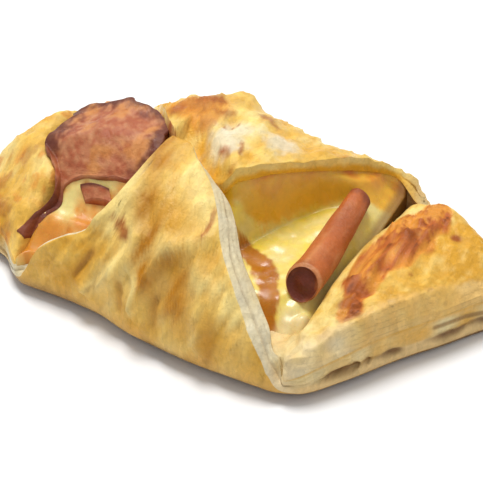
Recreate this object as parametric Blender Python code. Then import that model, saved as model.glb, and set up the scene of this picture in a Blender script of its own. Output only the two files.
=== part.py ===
"""A bacon and cheese turnover.

One square sheet of puff pastry has its near and far corners folded over a cheese filling, the near flap on top.
Both ends stay open, and the dough beyond the filling has puffed up into a mound at each tip. A rasher and a
small bit of bacon lie in the left opening, and a rolled rasher lies across the right one.

Lengths in this file are millimetres until a mesh is made, which is in metres. X runs along the turnover, from
the left tip to the right one, +Y is the far side and +Z is up. The tables give a measure at places along X,
counted from the middle of the folds, and the finished part stands on the origin."""

import bmesh
import bpy
import numpy as np

MM = 0.001
SEED = 11

# Driving dimensions
LEFT_TIP = -75.0
RIGHT_TIP = 88.0
FLAP_THICKNESS = 5.6
BASE_THICKNESS = 4.5
LAP_CLEARANCE = 1.1
UNDERSIDE_TRIM = 0.7
NEAR_BELLY = 7.5
FIT_GAP = 0.35
FILLING_GAP = 0.5
CENTRE_X = 6.5
CENTRE_Y = -1.0

# Outline of the folded square from above: place along X, then Y of its near side and of its far side
NEAR_SIDE = [(-75, -14), (-72.5, -20), (-62, -24.5), (-50, -28), (-43, -34), (-38, -36.5), (-30, -36.5),
             (-15, -37.5), (0, -41.5), (25, -44), (42, -44), (50, -41.5), (58, -31.5), (67, -16.5), (75, -4.5),
             (81.5, 6.5), (86, 13), (88, 18)]
FAR_SIDE = [(-75, -14), (-73.5, -9), (-64, 5), (-50, 23), (-40, 33), (-25, 38), (0, 42), (25, 43), (44, 41),
            (52, 38.5), (59, 35.2), (70, 30), (84, 23), (87.3, 20.5), (88, 18)]
# Height that the two flaps arch up to, and height at which the far side is widest
CREST = [(-75, 12), (-55, 24), (-38, 35), (-10, 43), (6, 43), (18, 40.5), (30, 38.5), (45, 37), (60, 28), (88, 12)]
FAR_BELLY = [(-75, 9), (18, 9), (32, 12), (44, 16.5), (52, 14.5), (60, 11.5), (75, 9), (88, 7)]
# How far each side of the sheet reaches round: 0 is under the middle, 0.5 the widest place, 1 the crest
NEAR_REACH = [(-75, .36), (-52, .38), (-44, .42), (-38, .51), (-33.5, .61), (-27, .655), (-21, .68), (-17, .73),
              (-13, .80), (-10.5, .88), (-8, .97), (-3, .97), (2, .935), (10, .885), (15, .84), (20, .78),
              (27.6, .71), (34, .64), (39, .58), (43, .51), (48, .43), (58, .38), (88, .36)]
FAR_REACH = [(-75, .36), (-57, .38), (-48, .44), (-41, .58), (-33, .70), (-22, .86), (-13, .97), (-6, 1.03),
             (3, 1.07), (10, 1.07), (15, 1.035), (20, .98), (25, .92), (30, .86), (35, .79), (40, .72),
             (47, .62), (51, .57), (55, .51), (58, .45), (63, .41), (88, .36)]
# Height of the puffed cut edge above the table, on the near side and on the far side
NEAR_RIM = [(-75, 11), (-60, 13), (-46, 10), (-38, 8), (38, 8), (46, 9), (54, 12), (64, 14), (80, 13.5), (88, 11)]
FAR_RIM = [(-75, 11), (-60, 13), (-46, 12), (-38, 12), (34, 16), (44, 20.5), (51, 20), (58, 18), (66, 17),
           (76, 15.5), (88, 11)]

# The two mounds: X of the ridge against Y, height against distance past the ridge, share of it against Y
RIGHT_RIDGE = [(-40, 53), (-20, 54), (0, 54.5), (10, 55.5), (20, 57.5), (30, 59), (40, 61)]
RIGHT_SLOPE = [(-20, 7), (-13, 9), (-11, 12.5), (-9.3, 17), (-7.5, 19.8), (-5, 21), (-2, 22), (2, 23), (6, 22.5),
               (14, 20), (22, 17), (33, 13)]
RIGHT_SHARE = [(-40, .6), (-22, .88), (0, 1), (26, 1), (34, .84)]
LEFT_RIDGE = [(-40, -45), (-32, -44), (-26, -43), (-23, -42), (-19.5, -40.5), (-17, -39.5), (-14, -40),
              (-10, -42), (-6.5, -46), (-2, -50), (5, -52), (35, -50)]
LEFT_SLOPE = [(-30, 11), (-18, 18), (-9, 24.5), (-3, 26.5), (1, 24.5), (3.3, 14), (6, 7)]
LEFT_SHARE = [(-40, .4), (-32, .48), (-26, .62), (-23, .7), (-19.5, .79), (-17, .88), (-14, .97), (-8, 1.02),
              (30, 1.02)]
# Height of the dough that fills the near corner, in front of the filling
CORNER_RISE = 13.5

# Creases of the near side, as height of the ridge, its half width, and X and Z of the points it runs through
NEAR_CREASES = [
    (2.1, 1.7, [(-2.2, 30), (-4.5, 25.5), (-7.8, 19.7), (-12.2, 13.2)]),
    (-1.6, 1.6, [(-5.5, 26.6), (-9.4, 20.8), (-14.3, 13.5)]),
    (2.2, 1.8, [(17.1, 32.1), (11, 30.7), (5.9, 28.1), (4.1, 24.1), (2.4, 18.9), (0.3, 13.3)]),
    (1.5, 1.8, [(16, 27.5), (19.9, 22.5), (22.4, 14.8), (22, 9)]),
    (-1.2, 2.6, [(8.5, 26), (8, 18), (7.5, 12)]),
    (1.3, 2.2, [(-16.9, 28.3), (-6.6, 37.1)]),
    (-1.3, 1.8, [(-6, 36), (-3.5, 33.5), (-1.8, 31.6)]),
    (1.1, 2.0, [(-24, 15), (-16, 10)]),
]
# Lumps and dents of the far side's top, as X, Y, radius and height
FAR_LUMPS = [(-13, 18, 7, 1.6), (8, 22, 5, 0.8), (17, 13, 6, 0.9), (3, 10, 4, -1.0), (11, 3, 3, -0.8),
             (24, 26, 7, 0.9), (-22, 24, 7, 0.9), (12, 36, 8, 1.0), (-8, 38, 8, 0.9)]
# Blistered strip along the right mound, from its near end to its far end: X, Y and half width
BLISTERS = [(55.5, -22, 2.5), (54, -13, 4.4), (54.5, -5, 5.6), (57, 7, 7), (58.5, 18, 7), (60, 24, 4)]

# The filling: where the browned wall under the far flap comes down to, as Y against X
WALL_FOOT = [(5, -12), (12, -8), (19, -3), (25, 6), (31, 14), (45, 24)]
FILLING_LEFT = -42.0
FILLING_RIGHT = 47.0
ACROSS_POINTS = 15

# The rasher, from its top edge down to its tail: X of its left side and of its right side against Y
RASHER_LEFT = [(-29, -44.5), (-26, -43), (-23, -41.5), (-19.5, -39.6), (-17, -38.6), (-14, -40), (-11.5, -41.5),
               (-9.8, -44.2), (-8.5, -46.6), (-5.7, -48), (-1, -47.8), (2.5, -46.3), (4.5, -47.2)]
RASHER_RIGHT = [(-29, -42.2), (-26, -40.8), (-23, -39.2), (-19.5, -37.3), (-17, -36.3), (-14, -37.2), (-12, -35.5),
                (-10.9, -31), (-10.3, -25), (-9.6, -18.5), (-8.4, -14.5), (-5, -12.5), (4.5, -13)]
# Y of its top edge against the share of its width
RASHER_EDGE = [(0, 7.5), (.04, 10.3), (.12, 12.3), (.3, 12.6), (.5, 12.8), (.7, 12), (.85, 9.5), (1, 7)]
RASHER_TOP = 4.5
RASHER_TAIL = -28.5
RASHER_THICKNESS = 2.4
RASHER_ROWS = 17
RASHER_COLUMNS = 9
# The small bit of bacon: its corners from the top left one round, as X and Y
BIT_CORNERS = [(-32.6, -12.7), (-23.6, -11.9), (-21.6, -14), (-29.6, -15.2)]
BIT_THICKNESS = 2.6
# The rolled rasher: ends of its middle line, its sag, its radius at each end, and how far its near end leans
ROLL_NEAR = (40.3, -21.5, 20.6)
ROLL_FAR = (39.5, 19.0, 25.3)
ROLL_SAG = 1.2
ROLL_NEAR_RADIUS = 5.2
ROLL_FAR_RADIUS = 3.2
ROLL_SLANT = 2.4
ROLL_RINGS = 13
ROLL_SIDES = 16

# Mesh sizes: sections along X, points round each skin, points across each cut edge
SECTIONS = 54
SKIN_POINTS = 35
EDGE_POINTS = 5


def smooth_table(x, stations):
    """Values of a smooth curve through (place, value) stations, without overshoot between them."""
    places, values = np.array(stations, float).T
    gap = np.diff(places)
    rise = np.diff(values) / gap
    slope = np.zeros(len(places))
    slope[0] = rise[0]
    slope[-1] = rise[-1]
    for i in range(1, len(places) - 1):
        if rise[i - 1] * rise[i] > 0:
            slope[i] = 2 * rise[i - 1] * rise[i] / (rise[i - 1] + rise[i])
    x = np.clip(x, places[0], places[-1])
    i = np.clip(np.searchsorted(places, x) - 1, 0, len(places) - 2)
    t = (x - places[i]) / gap[i]
    start = (1 + 2 * t) * (1 - t) ** 2 * values[i] + t * (1 - t) ** 2 * gap[i] * slope[i]
    end = t * t * (3 - 2 * t) * values[i + 1] + t * t * (t - 1) * gap[i] * slope[i + 1]
    return start + end


def ramp(x, low, high):
    """0 at low, 1 at high, smooth between."""
    t = np.clip((x - low) / (high - low), 0, 1)
    return t * t * (3 - 2 * t)


def signed_power(value, exponent):
    return np.sign(value) * np.abs(value) ** exponent


LATTICE = np.random.default_rng(SEED).uniform(-1, 1, (32, 32, 32))


def noise(points, size):
    """Smooth random values from -1 to 1, with lumps of the given size."""
    q = np.asarray(points) / size
    cell = np.floor(q).astype(int)
    t = q - cell
    t = t * t * (3 - 2 * t)
    total = 0
    for corner in np.ndindex(2, 2, 2):
        i, j, k = np.moveaxis((cell + corner) % 32, -1, 0)
        weight = np.prod(np.where(corner, t, 1 - t), axis=-1)
        total = total + LATTICE[i, j, k] * weight
    return total


def unit(vectors):
    return vectors / (np.linalg.norm(vectors, axis=-1, keepdims=True) + 1e-12)


def distance_to_path(u, v, path):
    """Distance from points (u, v) to a broken line in the same plane."""
    best = np.full(np.shape(u), 1e9)
    for (u0, v0), (u1, v1) in zip(path[:-1], path[1:]):
        du = u1 - u0
        dv = v1 - v0
        t = np.clip(((u - u0) * du + (v - v0) * dv) / (du * du + dv * dv), 0, 1)
        best = np.minimum(best, np.hypot(u - u0 - t * du, v - v0 - t * dv))
    return best


def arm(x, theta, side, skin=0.0, base=0.0):
    """Y and Z of one side of the sheet, theta round from under the middle; side is -1 near or +1 far.

    The outer skin has no skin and base; the inner one lies that far inside it, round the side and underneath."""
    near = smooth_table(x, NEAR_SIDE)
    far = smooth_table(x, FAR_SIDE)
    middle = (near + far) / 2
    half = (far - near) / 2
    height = smooth_table(x, CREST)
    belly = smooth_table(x, FAR_BELLY) if side > 0 else NEAR_BELLY
    widest = np.minimum(belly, 0.35 * height + np.maximum(0, belly - 9)) - UNDERSIDE_TRIM
    low = 2 / 3.8
    high = 2 / 1.85
    c = np.cos(theta)
    s = np.sin(theta)
    under = theta < np.pi / 2
    y = middle + side * np.maximum(half - skin, 0.3 * half) * signed_power(s, np.where(under, low, high))
    z_under = np.maximum((widest + UNDERSIDE_TRIM - base) * (1 - signed_power(c, low)) - UNDERSIDE_TRIM, 0) + base
    z_above = widest - (height - skin - widest) * signed_power(c, high)
    return y, np.where(under, z_under, z_above)


def mound(x, y):
    """Height of the puffed dough beyond the filling, at the end that x is on."""
    right = smooth_table(x - smooth_table(y, RIGHT_RIDGE), RIGHT_SLOPE) * smooth_table(y, RIGHT_SHARE)
    right = np.maximum(right, near_corner(x, y))
    left = smooth_table(x - smooth_table(y, LEFT_RIDGE), LEFT_SLOPE) * smooth_table(y, LEFT_SHARE)
    return np.where(x > 0, right, left)


def near_corner(x, y):
    """Height of the dough in the near corner, 0 away from it."""
    return CORNER_RISE * ramp(y, -24, -29.5) * ramp(x, 29, 37)


def pastry_skins():
    """Outer and inner skin of the folded sheet on one grid: along X, then from the near edge to the far one."""
    u = np.linspace(0, 1, SECTIONS)
    along = LEFT_TIP + 0.25 + (RIGHT_TIP - LEFT_TIP - 0.5) * (u - 0.028 * np.sin(2 * np.pi * u))
    x, tau = np.meshgrid(along, np.linspace(-1, 1, SKIN_POINTS), indexing="ij")
    near_reach = smooth_table(x, NEAR_REACH) * np.pi
    far_reach = smooth_table(x, FAR_REACH) * np.pi
    theta = np.where(tau < 0, near_reach, far_reach) * np.abs(tau)
    near_edge_y = arm(x, near_reach, -1)[0]
    swell = 6.5 * np.exp(-((x + 5) / 9) ** 2 - ((theta / np.pi - 0.74) / 0.13) ** 2)
    skins = []
    for skin, base in ((0, 0), (FLAP_THICKNESS, BASE_THICKNESS)):
        near_y, near_z = arm(x, theta, -1, skin, base)
        far_y, far_z = arm(x, theta, 1, skin, base)
        # the far flap goes down under the near one where they lap, and swells beside it
        lapped = ramp(far_y, near_edge_y + 13, near_edge_y + 2) * ramp(theta, 0.6 * np.pi, 0.8 * np.pi)
        far_z = far_z - (FLAP_THICKNESS + LAP_CLEARANCE) * lapped + 0.8 * swell
        far_y = far_y + 0.6 * swell
        skins.append(np.stack([x, np.where(tau < 0, near_y, far_y), np.where(tau < 0, near_z, far_z)], -1))
    outer, inner = skins
    inward = unit(np.cross(np.gradient(outer, axis=0), np.gradient(outer, axis=1)))
    outer = outer - inward * skin_relief(outer, tau, np.where(tau < 0, 0, lapped))[..., None]

    # at the open ends the sheet is as thick as the puffed mound on it, out to where a side folds up
    reach = np.where(tau < 0, near_reach, far_reach)
    folded = ramp(reach, 0.44 * np.pi, 0.51 * np.pi)
    open_end = np.maximum(ramp(x, 38, 47), ramp(x, -34, -42))
    end = open_end * (1 - folded * ramp(theta, 0.3 * np.pi, 0.5 * np.pi))
    y = outer[..., 1] * (1 - folded) + inner[..., 1] * folded
    dome = mound(x, y)
    rim = np.where(tau < 0, smooth_table(x, NEAR_RIM), smooth_table(x, FAR_RIM)) * (1 - folded) + dome * folded
    inset = (1 - np.abs(tau)) * (smooth_table(x, FAR_SIDE) - smooth_table(x, NEAR_SIDE)) / 2
    top = rim + (dome - rim) * ramp(inset, 0, 13) - 1.5 * ramp(inset, 2.5, 0) * (1 - folded)
    top = top + mound_relief(x, y) * ramp(inset, 0, 6) * end
    puffed = np.stack([x, y, np.maximum(top, outer[..., 2] + 4)], -1)
    inner = inner * (1 - end[..., None]) + puffed * end[..., None]
    # the dough also fills the near corner and the near fold beside each mound
    dough = near_corner(x, inner[..., 1]) * (folded + (1 - folded) * ramp(inset, 0, 8))
    dough = np.maximum(dough, mound(x, inner[..., 1]) * open_end * folded * (tau < 0))
    inner[..., 2] += 0.7 * np.maximum(0, dough - inner[..., 2])
    # the near flap's right edge is puffed open, so its inner layers stand out past the outer ones
    fanned = ramp(-tau, 0.8, 1) * ramp(x, -2, 12) * ramp(x, 43, 33)
    inner[..., 0] += 4.5 * fanned
    # and the far flap's lip draws back over the hollow
    inner[..., 1] += 3.5 * ramp(tau, 0.8, 1) * ramp(x, 12, 20) * ramp(x, 50, 42)
    return outer, inner


def skin_relief(outer, tau, lapped):
    """How far the outer skin stands out: creases on the near side, lumps on the far one, unevenness on both."""
    x, y, z = np.moveaxis(outer, -1, 0)
    height = 0.45 * noise(outer, 9) + 0.25 * noise(outer, 4.5)
    creases = 0
    for rise, width, path in NEAR_CREASES:
        away = distance_to_path(x, z, path)
        creases = creases + rise * np.exp(-(away / width) ** 2)
    lumps = 0
    for cx, cy, radius, rise in FAR_LUMPS:
        away = np.hypot(x - cx, y - cy)
        lumps = lumps + rise * np.exp(-(away / radius) ** 2)
    shown = ramp(np.abs(x - 5), 45, 38)
    return (height + np.where(tau < 0, creases, lumps) * shown) * ramp(z, 3, 8) * (1 - lapped)


def mound_relief(x, y):
    """Blisters along the right mound and soft lumps on both."""
    spots = np.stack([x, y, np.zeros_like(x)], -1)
    strip = distance_to_path(x, y, [(bx, by) for bx, by, _ in BLISTERS])
    half_width = smooth_table(y, [(by, half) for _, by, half in BLISTERS])
    return 0.6 * noise(spots + 5, 8) + 1.3 * noise(spots, 3.6) * ramp(strip, half_width + 1.5, half_width - 1.5)


def cut_edge(outer_edge, inner_edge, away, share, depth):
    """Rows across a cut edge from the outer skin to the inner one, with a groove between the puffed layers."""
    rows = []
    for row in range(1, EDGE_POINTS + 1):
        t = row / (EDGE_POINTS + 1)
        swell = 0.5 * np.sin(np.pi * t)
        groove = depth * np.exp(-((t - share) / 0.09) ** 2)
        line = outer_edge * (1 - t) + inner_edge * t
        rows.append(line + away * (swell - groove)[:, None])
    return np.stack(rows, 1)


def pastry_rings(outer, inner):
    """Closed sections of the pastry: outer skin, far cut edge, inner skin back, near cut edge."""
    along = outer[:, 0, 0]
    open_end = np.maximum(ramp(along, 42, 52), ramp(along, -42, -52))
    share = 0.5 - 0.12 * open_end + 0.03 * np.sin(along / 5)
    depth = 0.5 + open_end * (1.6 + 0.9 * np.sin(along / 3.7 + 1) + 0.5 * np.sin(along / 1.9))
    taper = ramp(along, LEFT_TIP, LEFT_TIP + 9) * ramp(along, RIGHT_TIP, RIGHT_TIP - 9)
    far_away = unit(outer[:, -1] - outer[:, -2])
    near_away = unit(outer[:, 0] - outer[:, 1])
    for away in (far_away, near_away):
        away[:, 2] *= 1 - open_end
    far_edge = cut_edge(outer[:, -1], inner[:, -1], far_away, share, depth * taper)
    near_edge = cut_edge(outer[:, 0], inner[:, 0], near_away, share, depth * taper)
    return np.concatenate([outer, far_edge, inner[:, ::-1], near_edge[:, ::-1]], 1)


def pastry_faces():
    """Faces between the pastry's sections, and a strip of faces over the sheet's thickness at each tip."""
    ring = 2 * (SKIN_POINTS + EDGE_POINTS)
    faces = ring_faces(SECTIONS, ring)
    inner_end = 2 * SKIN_POINTS + EDGE_POINTS - 1
    for section, turn in ((0, 1), (SECTIONS - 1, -1)):
        start = section * ring
        for j in range(SKIN_POINTS - 1):
            quad = [start + j, start + j + 1, start + inner_end - j - 1, start + inner_end - j]
            faces.append(quad[::turn])
        far_fan = [start + SKIN_POINTS - 1 + k for k in range(EDGE_POINTS + 2)]
        near_fan = [start + inner_end + k for k in range(EDGE_POINTS + 1)] + [start]
        faces.append(far_fan[::turn])
        faces.append(near_fan[::turn])
    return faces


def ring_faces(rings, points):
    """Quads between closed rings of points that follow each other."""
    faces = []
    for i in range(rings - 1):
        for j in range(points):
            k = (j + 1) % points
            faces.append([i * points + j, (i + 1) * points + j, (i + 1) * points + k, i * points + k])
    return faces


def add_solid(name, points, faces, finish):
    """Object from points in millimetres, centred on the origin, with all its faces turned outward."""
    mesh = bpy.data.meshes.new(name)
    points = np.asarray(points, float).reshape(-1, 3) - (CENTRE_X, CENTRE_Y, 0)
    mesh.from_pydata((points * MM).tolist(), [], faces)
    mesh.materials.append(finish)
    piece = bpy.data.objects.new(name, mesh)
    bpy.context.scene.collection.objects.link(piece)
    tidy_mesh(mesh)
    return piece


def tidy_mesh(mesh):
    """Triangles, faces outward, smooth shading."""
    work = bmesh.new()
    work.from_mesh(mesh)
    bmesh.ops.triangulate(work, faces=work.faces)
    bmesh.ops.recalc_face_normals(work, faces=work.faces)
    work.to_mesh(mesh)
    work.free()
    mesh.shade_smooth()


def material(name, colour, roughness):
    finish = bpy.data.materials.new(name)
    finish.use_nodes = True
    shader = finish.node_tree.nodes["Principled BSDF"]
    shader.inputs["Base Color"].default_value = (*colour, 1)
    shader.inputs["Roughness"].default_value = roughness
    shader.inputs["Metallic"].default_value = 0
    return finish


def clear_scene():
    for item in list(bpy.data.objects):
        bpy.data.objects.remove(item, do_unlink=True)


def filling_height(x, y):
    """Height of the filling's open surface."""
    foot = smooth_table(x, WALL_FOOT)
    right = 17 + 0.12 * (y + 20) + 14 * ramp(y, foot - 1, foot + 7) * ramp(x, 43, 32)
    right = right - 5 * ramp(x, 39, 47) - 6 * ramp(y, -22, -32)
    right = right + 3 * ramp(np.hypot(x - 44.5, y + 26), 4.5, 1) - 1.2 * ramp(np.hypot(x - 39.5, y + 22.5), 4.5, 2)
    left = 18 + 19 * ramp(y, -20, 1) - 14 * ramp(y, 13, 24) - 7 * ramp(y, -20, -30)
    left = np.minimum(left, 30 + 0.45 * (x + 46)) - 3.5 * ramp(x, -40, -43.5) * ramp(y, -4, -8)
    return np.where(x > 0, right, left)


def filling_rings(outer, inner):
    """Closed sections of the filling: half way through the sheet all round, then across the opening.

    It stops a little short of the cut edges, so that it does not show in the groove between their layers."""
    inside = (outer[:, 0, 0] > FILLING_LEFT) & (outer[:, 0, 0] < FILLING_RIGHT)
    middle = ((outer + inner) / 2)[inside]
    middle[:, 0] += 0.3 * (middle[:, 1] - middle[:, 0])
    middle[:, -1] += 0.3 * (middle[:, -2] - middle[:, -1])
    start = middle[:, -1]
    end = middle[:, 0]
    rows = []
    for row in range(1, ACROSS_POINTS + 1):
        t = row / (ACROSS_POINTS + 1)
        across = start * (1 - t) + end * t
        surface = filling_height(across[:, 0], across[:, 1])
        from_start = start[:, 2] - 2.5 * np.abs(across[:, 1] - start[:, 1])
        from_end = end[:, 2] - 2.5 * np.abs(across[:, 1] - end[:, 1])
        across[:, 2] = np.maximum(surface, np.maximum(from_start, from_end))
        rows.append(across)
    return np.concatenate([middle, np.stack(rows, 1)], 1)


def capped_rings(rings):
    """Points and faces of a tube of closed rings, with each end closed by one face."""
    count, points = rings.shape[:2]
    faces = ring_faces(count, points)
    faces.append(list(range(points)))
    faces.append([(count - 1) * points + k for k in reversed(range(points))])
    return rings, faces


def slab(top, thickness):
    """Points and faces of a curved sheet: a grid of its top, and the same grid lower down."""
    rows, columns = top.shape[:2]
    low = top.copy()
    low[..., 2] -= thickness
    size = rows * columns
    faces = []
    for i in range(rows - 1):
        for j in range(columns - 1):
            a = i * columns + j
            quad = [a, a + columns, a + columns + 1, a + 1]
            faces.append(quad)
            faces.append([size + k for k in reversed(quad)])
    border = [j for j in range(columns)]
    border += [i * columns + columns - 1 for i in range(1, rows)]
    border += [(rows - 1) * columns + j for j in reversed(range(columns - 1))]
    border += [i * columns for i in reversed(range(1, rows - 1))]
    for a, b in zip(border, border[1:] + border[:1]):
        faces.append([a, b, size + b, size + a])
    return np.concatenate([top.reshape(-1, 3), low.reshape(-1, 3)]), faces


def rasher_top(room=0.0):
    """Grid of the rasher's upper face, from its top edge down to its tail, or of a face that far outside it."""
    s = np.linspace(0, 1, RASHER_ROWS)[:, None]
    t = np.linspace(0, 1, RASHER_COLUMNS)[None]
    row = RASHER_TOP + room + (RASHER_TAIL - RASHER_TOP - 2 * room) * s
    x = (smooth_table(row, RASHER_LEFT) - room) * (1 - t) + (smooth_table(row, RASHER_RIGHT) + room) * t
    y = row + (smooth_table(t, RASHER_EDGE) - RASHER_TOP) * ramp(row, -8, RASHER_TOP)
    margin = np.minimum(np.minimum(t, 1 - t) * 2, s * 4)
    curl = 1.2 * ramp(margin, 0.5, 0) * ramp(y, -16, -4)
    under = np.maximum(filling_height(x, y), mound(x, y) + 0.6)
    grid = np.stack([x, y, under], -1)
    grid[..., 2] += 1.0 + curl + 0.5 * noise(grid, 5) + room
    return grid


def bit_top():
    """Grid of the upper face of the small bit of bacon, arched along its length."""
    s, t = np.meshgrid(np.linspace(0, 1, 4), np.linspace(0, 1, 6), indexing="ij")
    a, b, c, d = np.array(BIT_CORNERS, float)
    plan = ((a[None, None] * (1 - t[..., None]) + b * t[..., None]) * (1 - s[..., None])
            + (d * (1 - t[..., None]) + c * t[..., None]) * s[..., None])
    z = filling_height(plan[..., 0], plan[..., 1]) + 1.3 + 1.2 * np.sin(np.pi * t)
    return np.concatenate([plan, z[..., None]], -1)


def roll_rings():
    """Closed rings of the rolled rasher, narrower at the far end, with rounded ends."""
    near = np.array(ROLL_NEAR)
    far = np.array(ROLL_FAR)
    ahead = unit(far - near)
    side = unit(np.cross(ahead, (0, 0, 1)))
    above = np.cross(side, ahead)
    angle = np.linspace(0, 2 * np.pi, ROLL_SIDES, endpoint=False)
    circle = np.cos(angle)[:, None] * side + np.sin(angle)[:, None] * above
    slant = (np.sin(angle) + 1)[:, None] * ahead * ROLL_SLANT
    rings = []
    for s in np.linspace(0, 1, ROLL_RINGS):
        middle = near * (1 - s) + far * s - above * ROLL_SAG * np.sin(np.pi * s)
        radius = ROLL_NEAR_RADIUS * (1 - s) + ROLL_FAR_RADIUS * s
        lobes = 1 + 0.05 * np.sin(2 * angle + 4 * s) + 0.03 * np.sin(3 * angle + 9 * s)
        rings.append(middle + circle * (radius * lobes)[:, None] + slant * ramp(s, 0.3, 0))
    rings[0] = near + (rings[0] - near) * 0.86 - ahead * 0.4
    inner_lip = near + (rings[0] - near) * 0.66 + ahead * 0.9
    rings[-1] = far + (rings[-1] - far) * 0.8 + ahead * 0.4
    return np.array([inner_lip] + rings)


def grown_copy(piece, by):
    """Cutter: the piece with every point moved outward."""
    cutter = bpy.data.objects.new(piece.name + "_room", piece.data.copy())
    bpy.context.scene.collection.objects.link(cutter)
    for vertex in cutter.data.vertices:
        vertex.co += vertex.normal * by * MM
    return cutter


def make_rooms(pastry, bit, roll, gap, finish):
    """Cutters a gap larger than the pastry, the rasher, the bit and the roll."""
    rasher_room = add_solid("rasher_room", *slab(rasher_top(gap), RASHER_THICKNESS + 2 * gap), finish)
    rooms = [grown_copy(pastry, gap), rasher_room, grown_copy(bit, gap), grown_copy(roll, gap)]
    for room in rooms:
        room.hide_render = True
        room.display_type = "WIRE"
    return rooms


def carve(piece, cutters):
    """Cut room for the cutters out of a piece, and keep the largest body that is left."""
    for cutter in cutters:
        cut = piece.modifiers.new("room", "BOOLEAN")
        cut.operation = "DIFFERENCE"
        cut.solver = "EXACT"
        cut.use_self = True
        cut.object = cutter
    graph = bpy.context.evaluated_depsgraph_get()
    carved = bpy.data.meshes.new_from_object(piece.evaluated_get(graph))
    piece.modifiers.clear()
    piece.data = carved
    keep_largest(carved)
    tidy_mesh(carved)


def keep_largest(mesh):
    """Drop loose scraps: only the body with the most faces stays."""
    work = bmesh.new()
    work.from_mesh(mesh)
    left = set(work.faces)
    bodies = []
    while left:
        body = set()
        edge = [left.pop()]
        while edge:
            face = edge.pop()
            body.add(face)
            for border in face.edges:
                for other in border.link_faces:
                    if other in left:
                        left.remove(other)
                        edge.append(other)
        bodies.append(body)
    bodies.sort(key=len)
    scraps = [face for body in bodies[:-1] for face in body]
    bmesh.ops.delete(work, geom=scraps, context="FACES")
    work.to_mesh(mesh)
    work.free()


def main():
    clear_scene()
    crust = material("baked_pastry", (0.80, 0.56, 0.24), 0.5)
    cheese = material("melted_cheese", (0.86, 0.60, 0.16), 0.25)
    rasher_meat = material("rasher_bacon", (0.55, 0.24, 0.15), 0.35)
    bit_meat = material("bit_bacon", (0.45, 0.18, 0.12), 0.35)
    roll_meat = material("roll_bacon", (0.58, 0.22, 0.10), 0.35)

    outer, inner = pastry_skins()
    pastry = add_solid("pastry", pastry_rings(outer, inner), pastry_faces(), crust)
    filling = add_solid("cheese_filling", *capped_rings(filling_rings(outer, inner)), cheese)
    rasher = add_solid("bacon_rasher", *slab(rasher_top(), RASHER_THICKNESS), rasher_meat)
    bit = add_solid("bacon_bit", *slab(bit_top(), BIT_THICKNESS), bit_meat)
    roll = add_solid("bacon_roll", *capped_rings(roll_rings()), roll_meat)

    rooms = make_rooms(pastry, bit, roll, FIT_GAP, crust)
    filling_rooms = make_rooms(pastry, bit, roll, FILLING_GAP, crust)
    carve(rasher, rooms[:1])
    carve(bit, rooms[:2])
    carve(roll, rooms[:3])
    carve(filling, filling_rooms)
    for room in rooms + filling_rooms:
        bpy.data.objects.remove(room, do_unlink=True)


main()
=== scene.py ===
"""A bacon and cheese turnover on a plain pale floor.

The forms are those of the solids, made finer, with relief and colour worked out at each point. Lengths are
millimetres until a mesh is made. X runs along the turnover, +Y is the far side and +Z is up."""

import bmesh
import bpy
import numpy as np
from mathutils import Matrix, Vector


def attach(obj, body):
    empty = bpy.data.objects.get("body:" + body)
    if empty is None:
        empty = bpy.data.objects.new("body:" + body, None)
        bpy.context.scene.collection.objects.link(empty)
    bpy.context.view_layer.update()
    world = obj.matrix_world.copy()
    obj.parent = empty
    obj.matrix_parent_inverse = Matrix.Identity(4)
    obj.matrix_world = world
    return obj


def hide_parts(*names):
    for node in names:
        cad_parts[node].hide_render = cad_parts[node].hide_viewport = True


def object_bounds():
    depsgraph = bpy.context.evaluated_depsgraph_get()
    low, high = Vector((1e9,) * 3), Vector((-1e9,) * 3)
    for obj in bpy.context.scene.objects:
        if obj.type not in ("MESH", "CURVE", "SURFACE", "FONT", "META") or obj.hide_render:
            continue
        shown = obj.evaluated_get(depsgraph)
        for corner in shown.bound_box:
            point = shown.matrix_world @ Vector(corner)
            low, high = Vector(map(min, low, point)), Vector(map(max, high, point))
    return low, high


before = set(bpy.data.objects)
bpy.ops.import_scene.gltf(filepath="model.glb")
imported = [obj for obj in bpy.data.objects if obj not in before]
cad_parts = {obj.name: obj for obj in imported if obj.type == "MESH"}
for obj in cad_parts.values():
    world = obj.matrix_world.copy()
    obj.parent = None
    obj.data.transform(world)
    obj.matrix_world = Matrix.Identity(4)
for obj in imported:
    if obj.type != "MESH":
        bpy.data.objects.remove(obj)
size_at_load = [list(corner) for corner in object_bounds()]

MM = 0.001
SEED = 11

# Driving dimensions, the same as the solids'
LEFT_TIP = -75.0
RIGHT_TIP = 88.0
FLAP_THICKNESS = 5.6
BASE_THICKNESS = 4.5
LAP_CLEARANCE = 1.1
UNDERSIDE_TRIM = 0.7
NEAR_BELLY = 7.5
CENTRE_X = 6.5
CENTRE_Y = -1.0

# The sheet's outline from above: X and Y along its near and its far side
NEAR_SIDE = [(-75, -14), (-72.5, -20), (-62, -24.5), (-50, -28), (-43, -34), (-38, -36.5), (-30, -36.5),
             (-15, -37.5), (0, -41.5), (25, -44), (42, -44), (50, -41.5), (58, -31.5), (67, -16.5),
             (75, -4.5), (81.5, 6.5), (86, 13), (88, 18)]
FAR_SIDE = [(-75, -14), (-73.5, -9), (-64, 5), (-50, 23), (-40, 33), (-25, 38), (0, 42), (25, 43), (44, 41),
            (52, 38.5), (59, 35.2), (70, 30), (84, 23), (87.3, 20.5), (88, 18)]
# Height of the crest, and of the far side's widest place, against X
CREST = [(-75, 12), (-55, 24), (-38, 35), (-10, 43), (6, 43), (18, 40.5), (30, 38.5), (45, 37), (60, 28),
         (88, 12)]
FAR_BELLY = [(-75, 9), (18, 9), (32, 12), (44, 16.5), (52, 14.5), (60, 11.5), (75, 9), (88, 7)]
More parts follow.
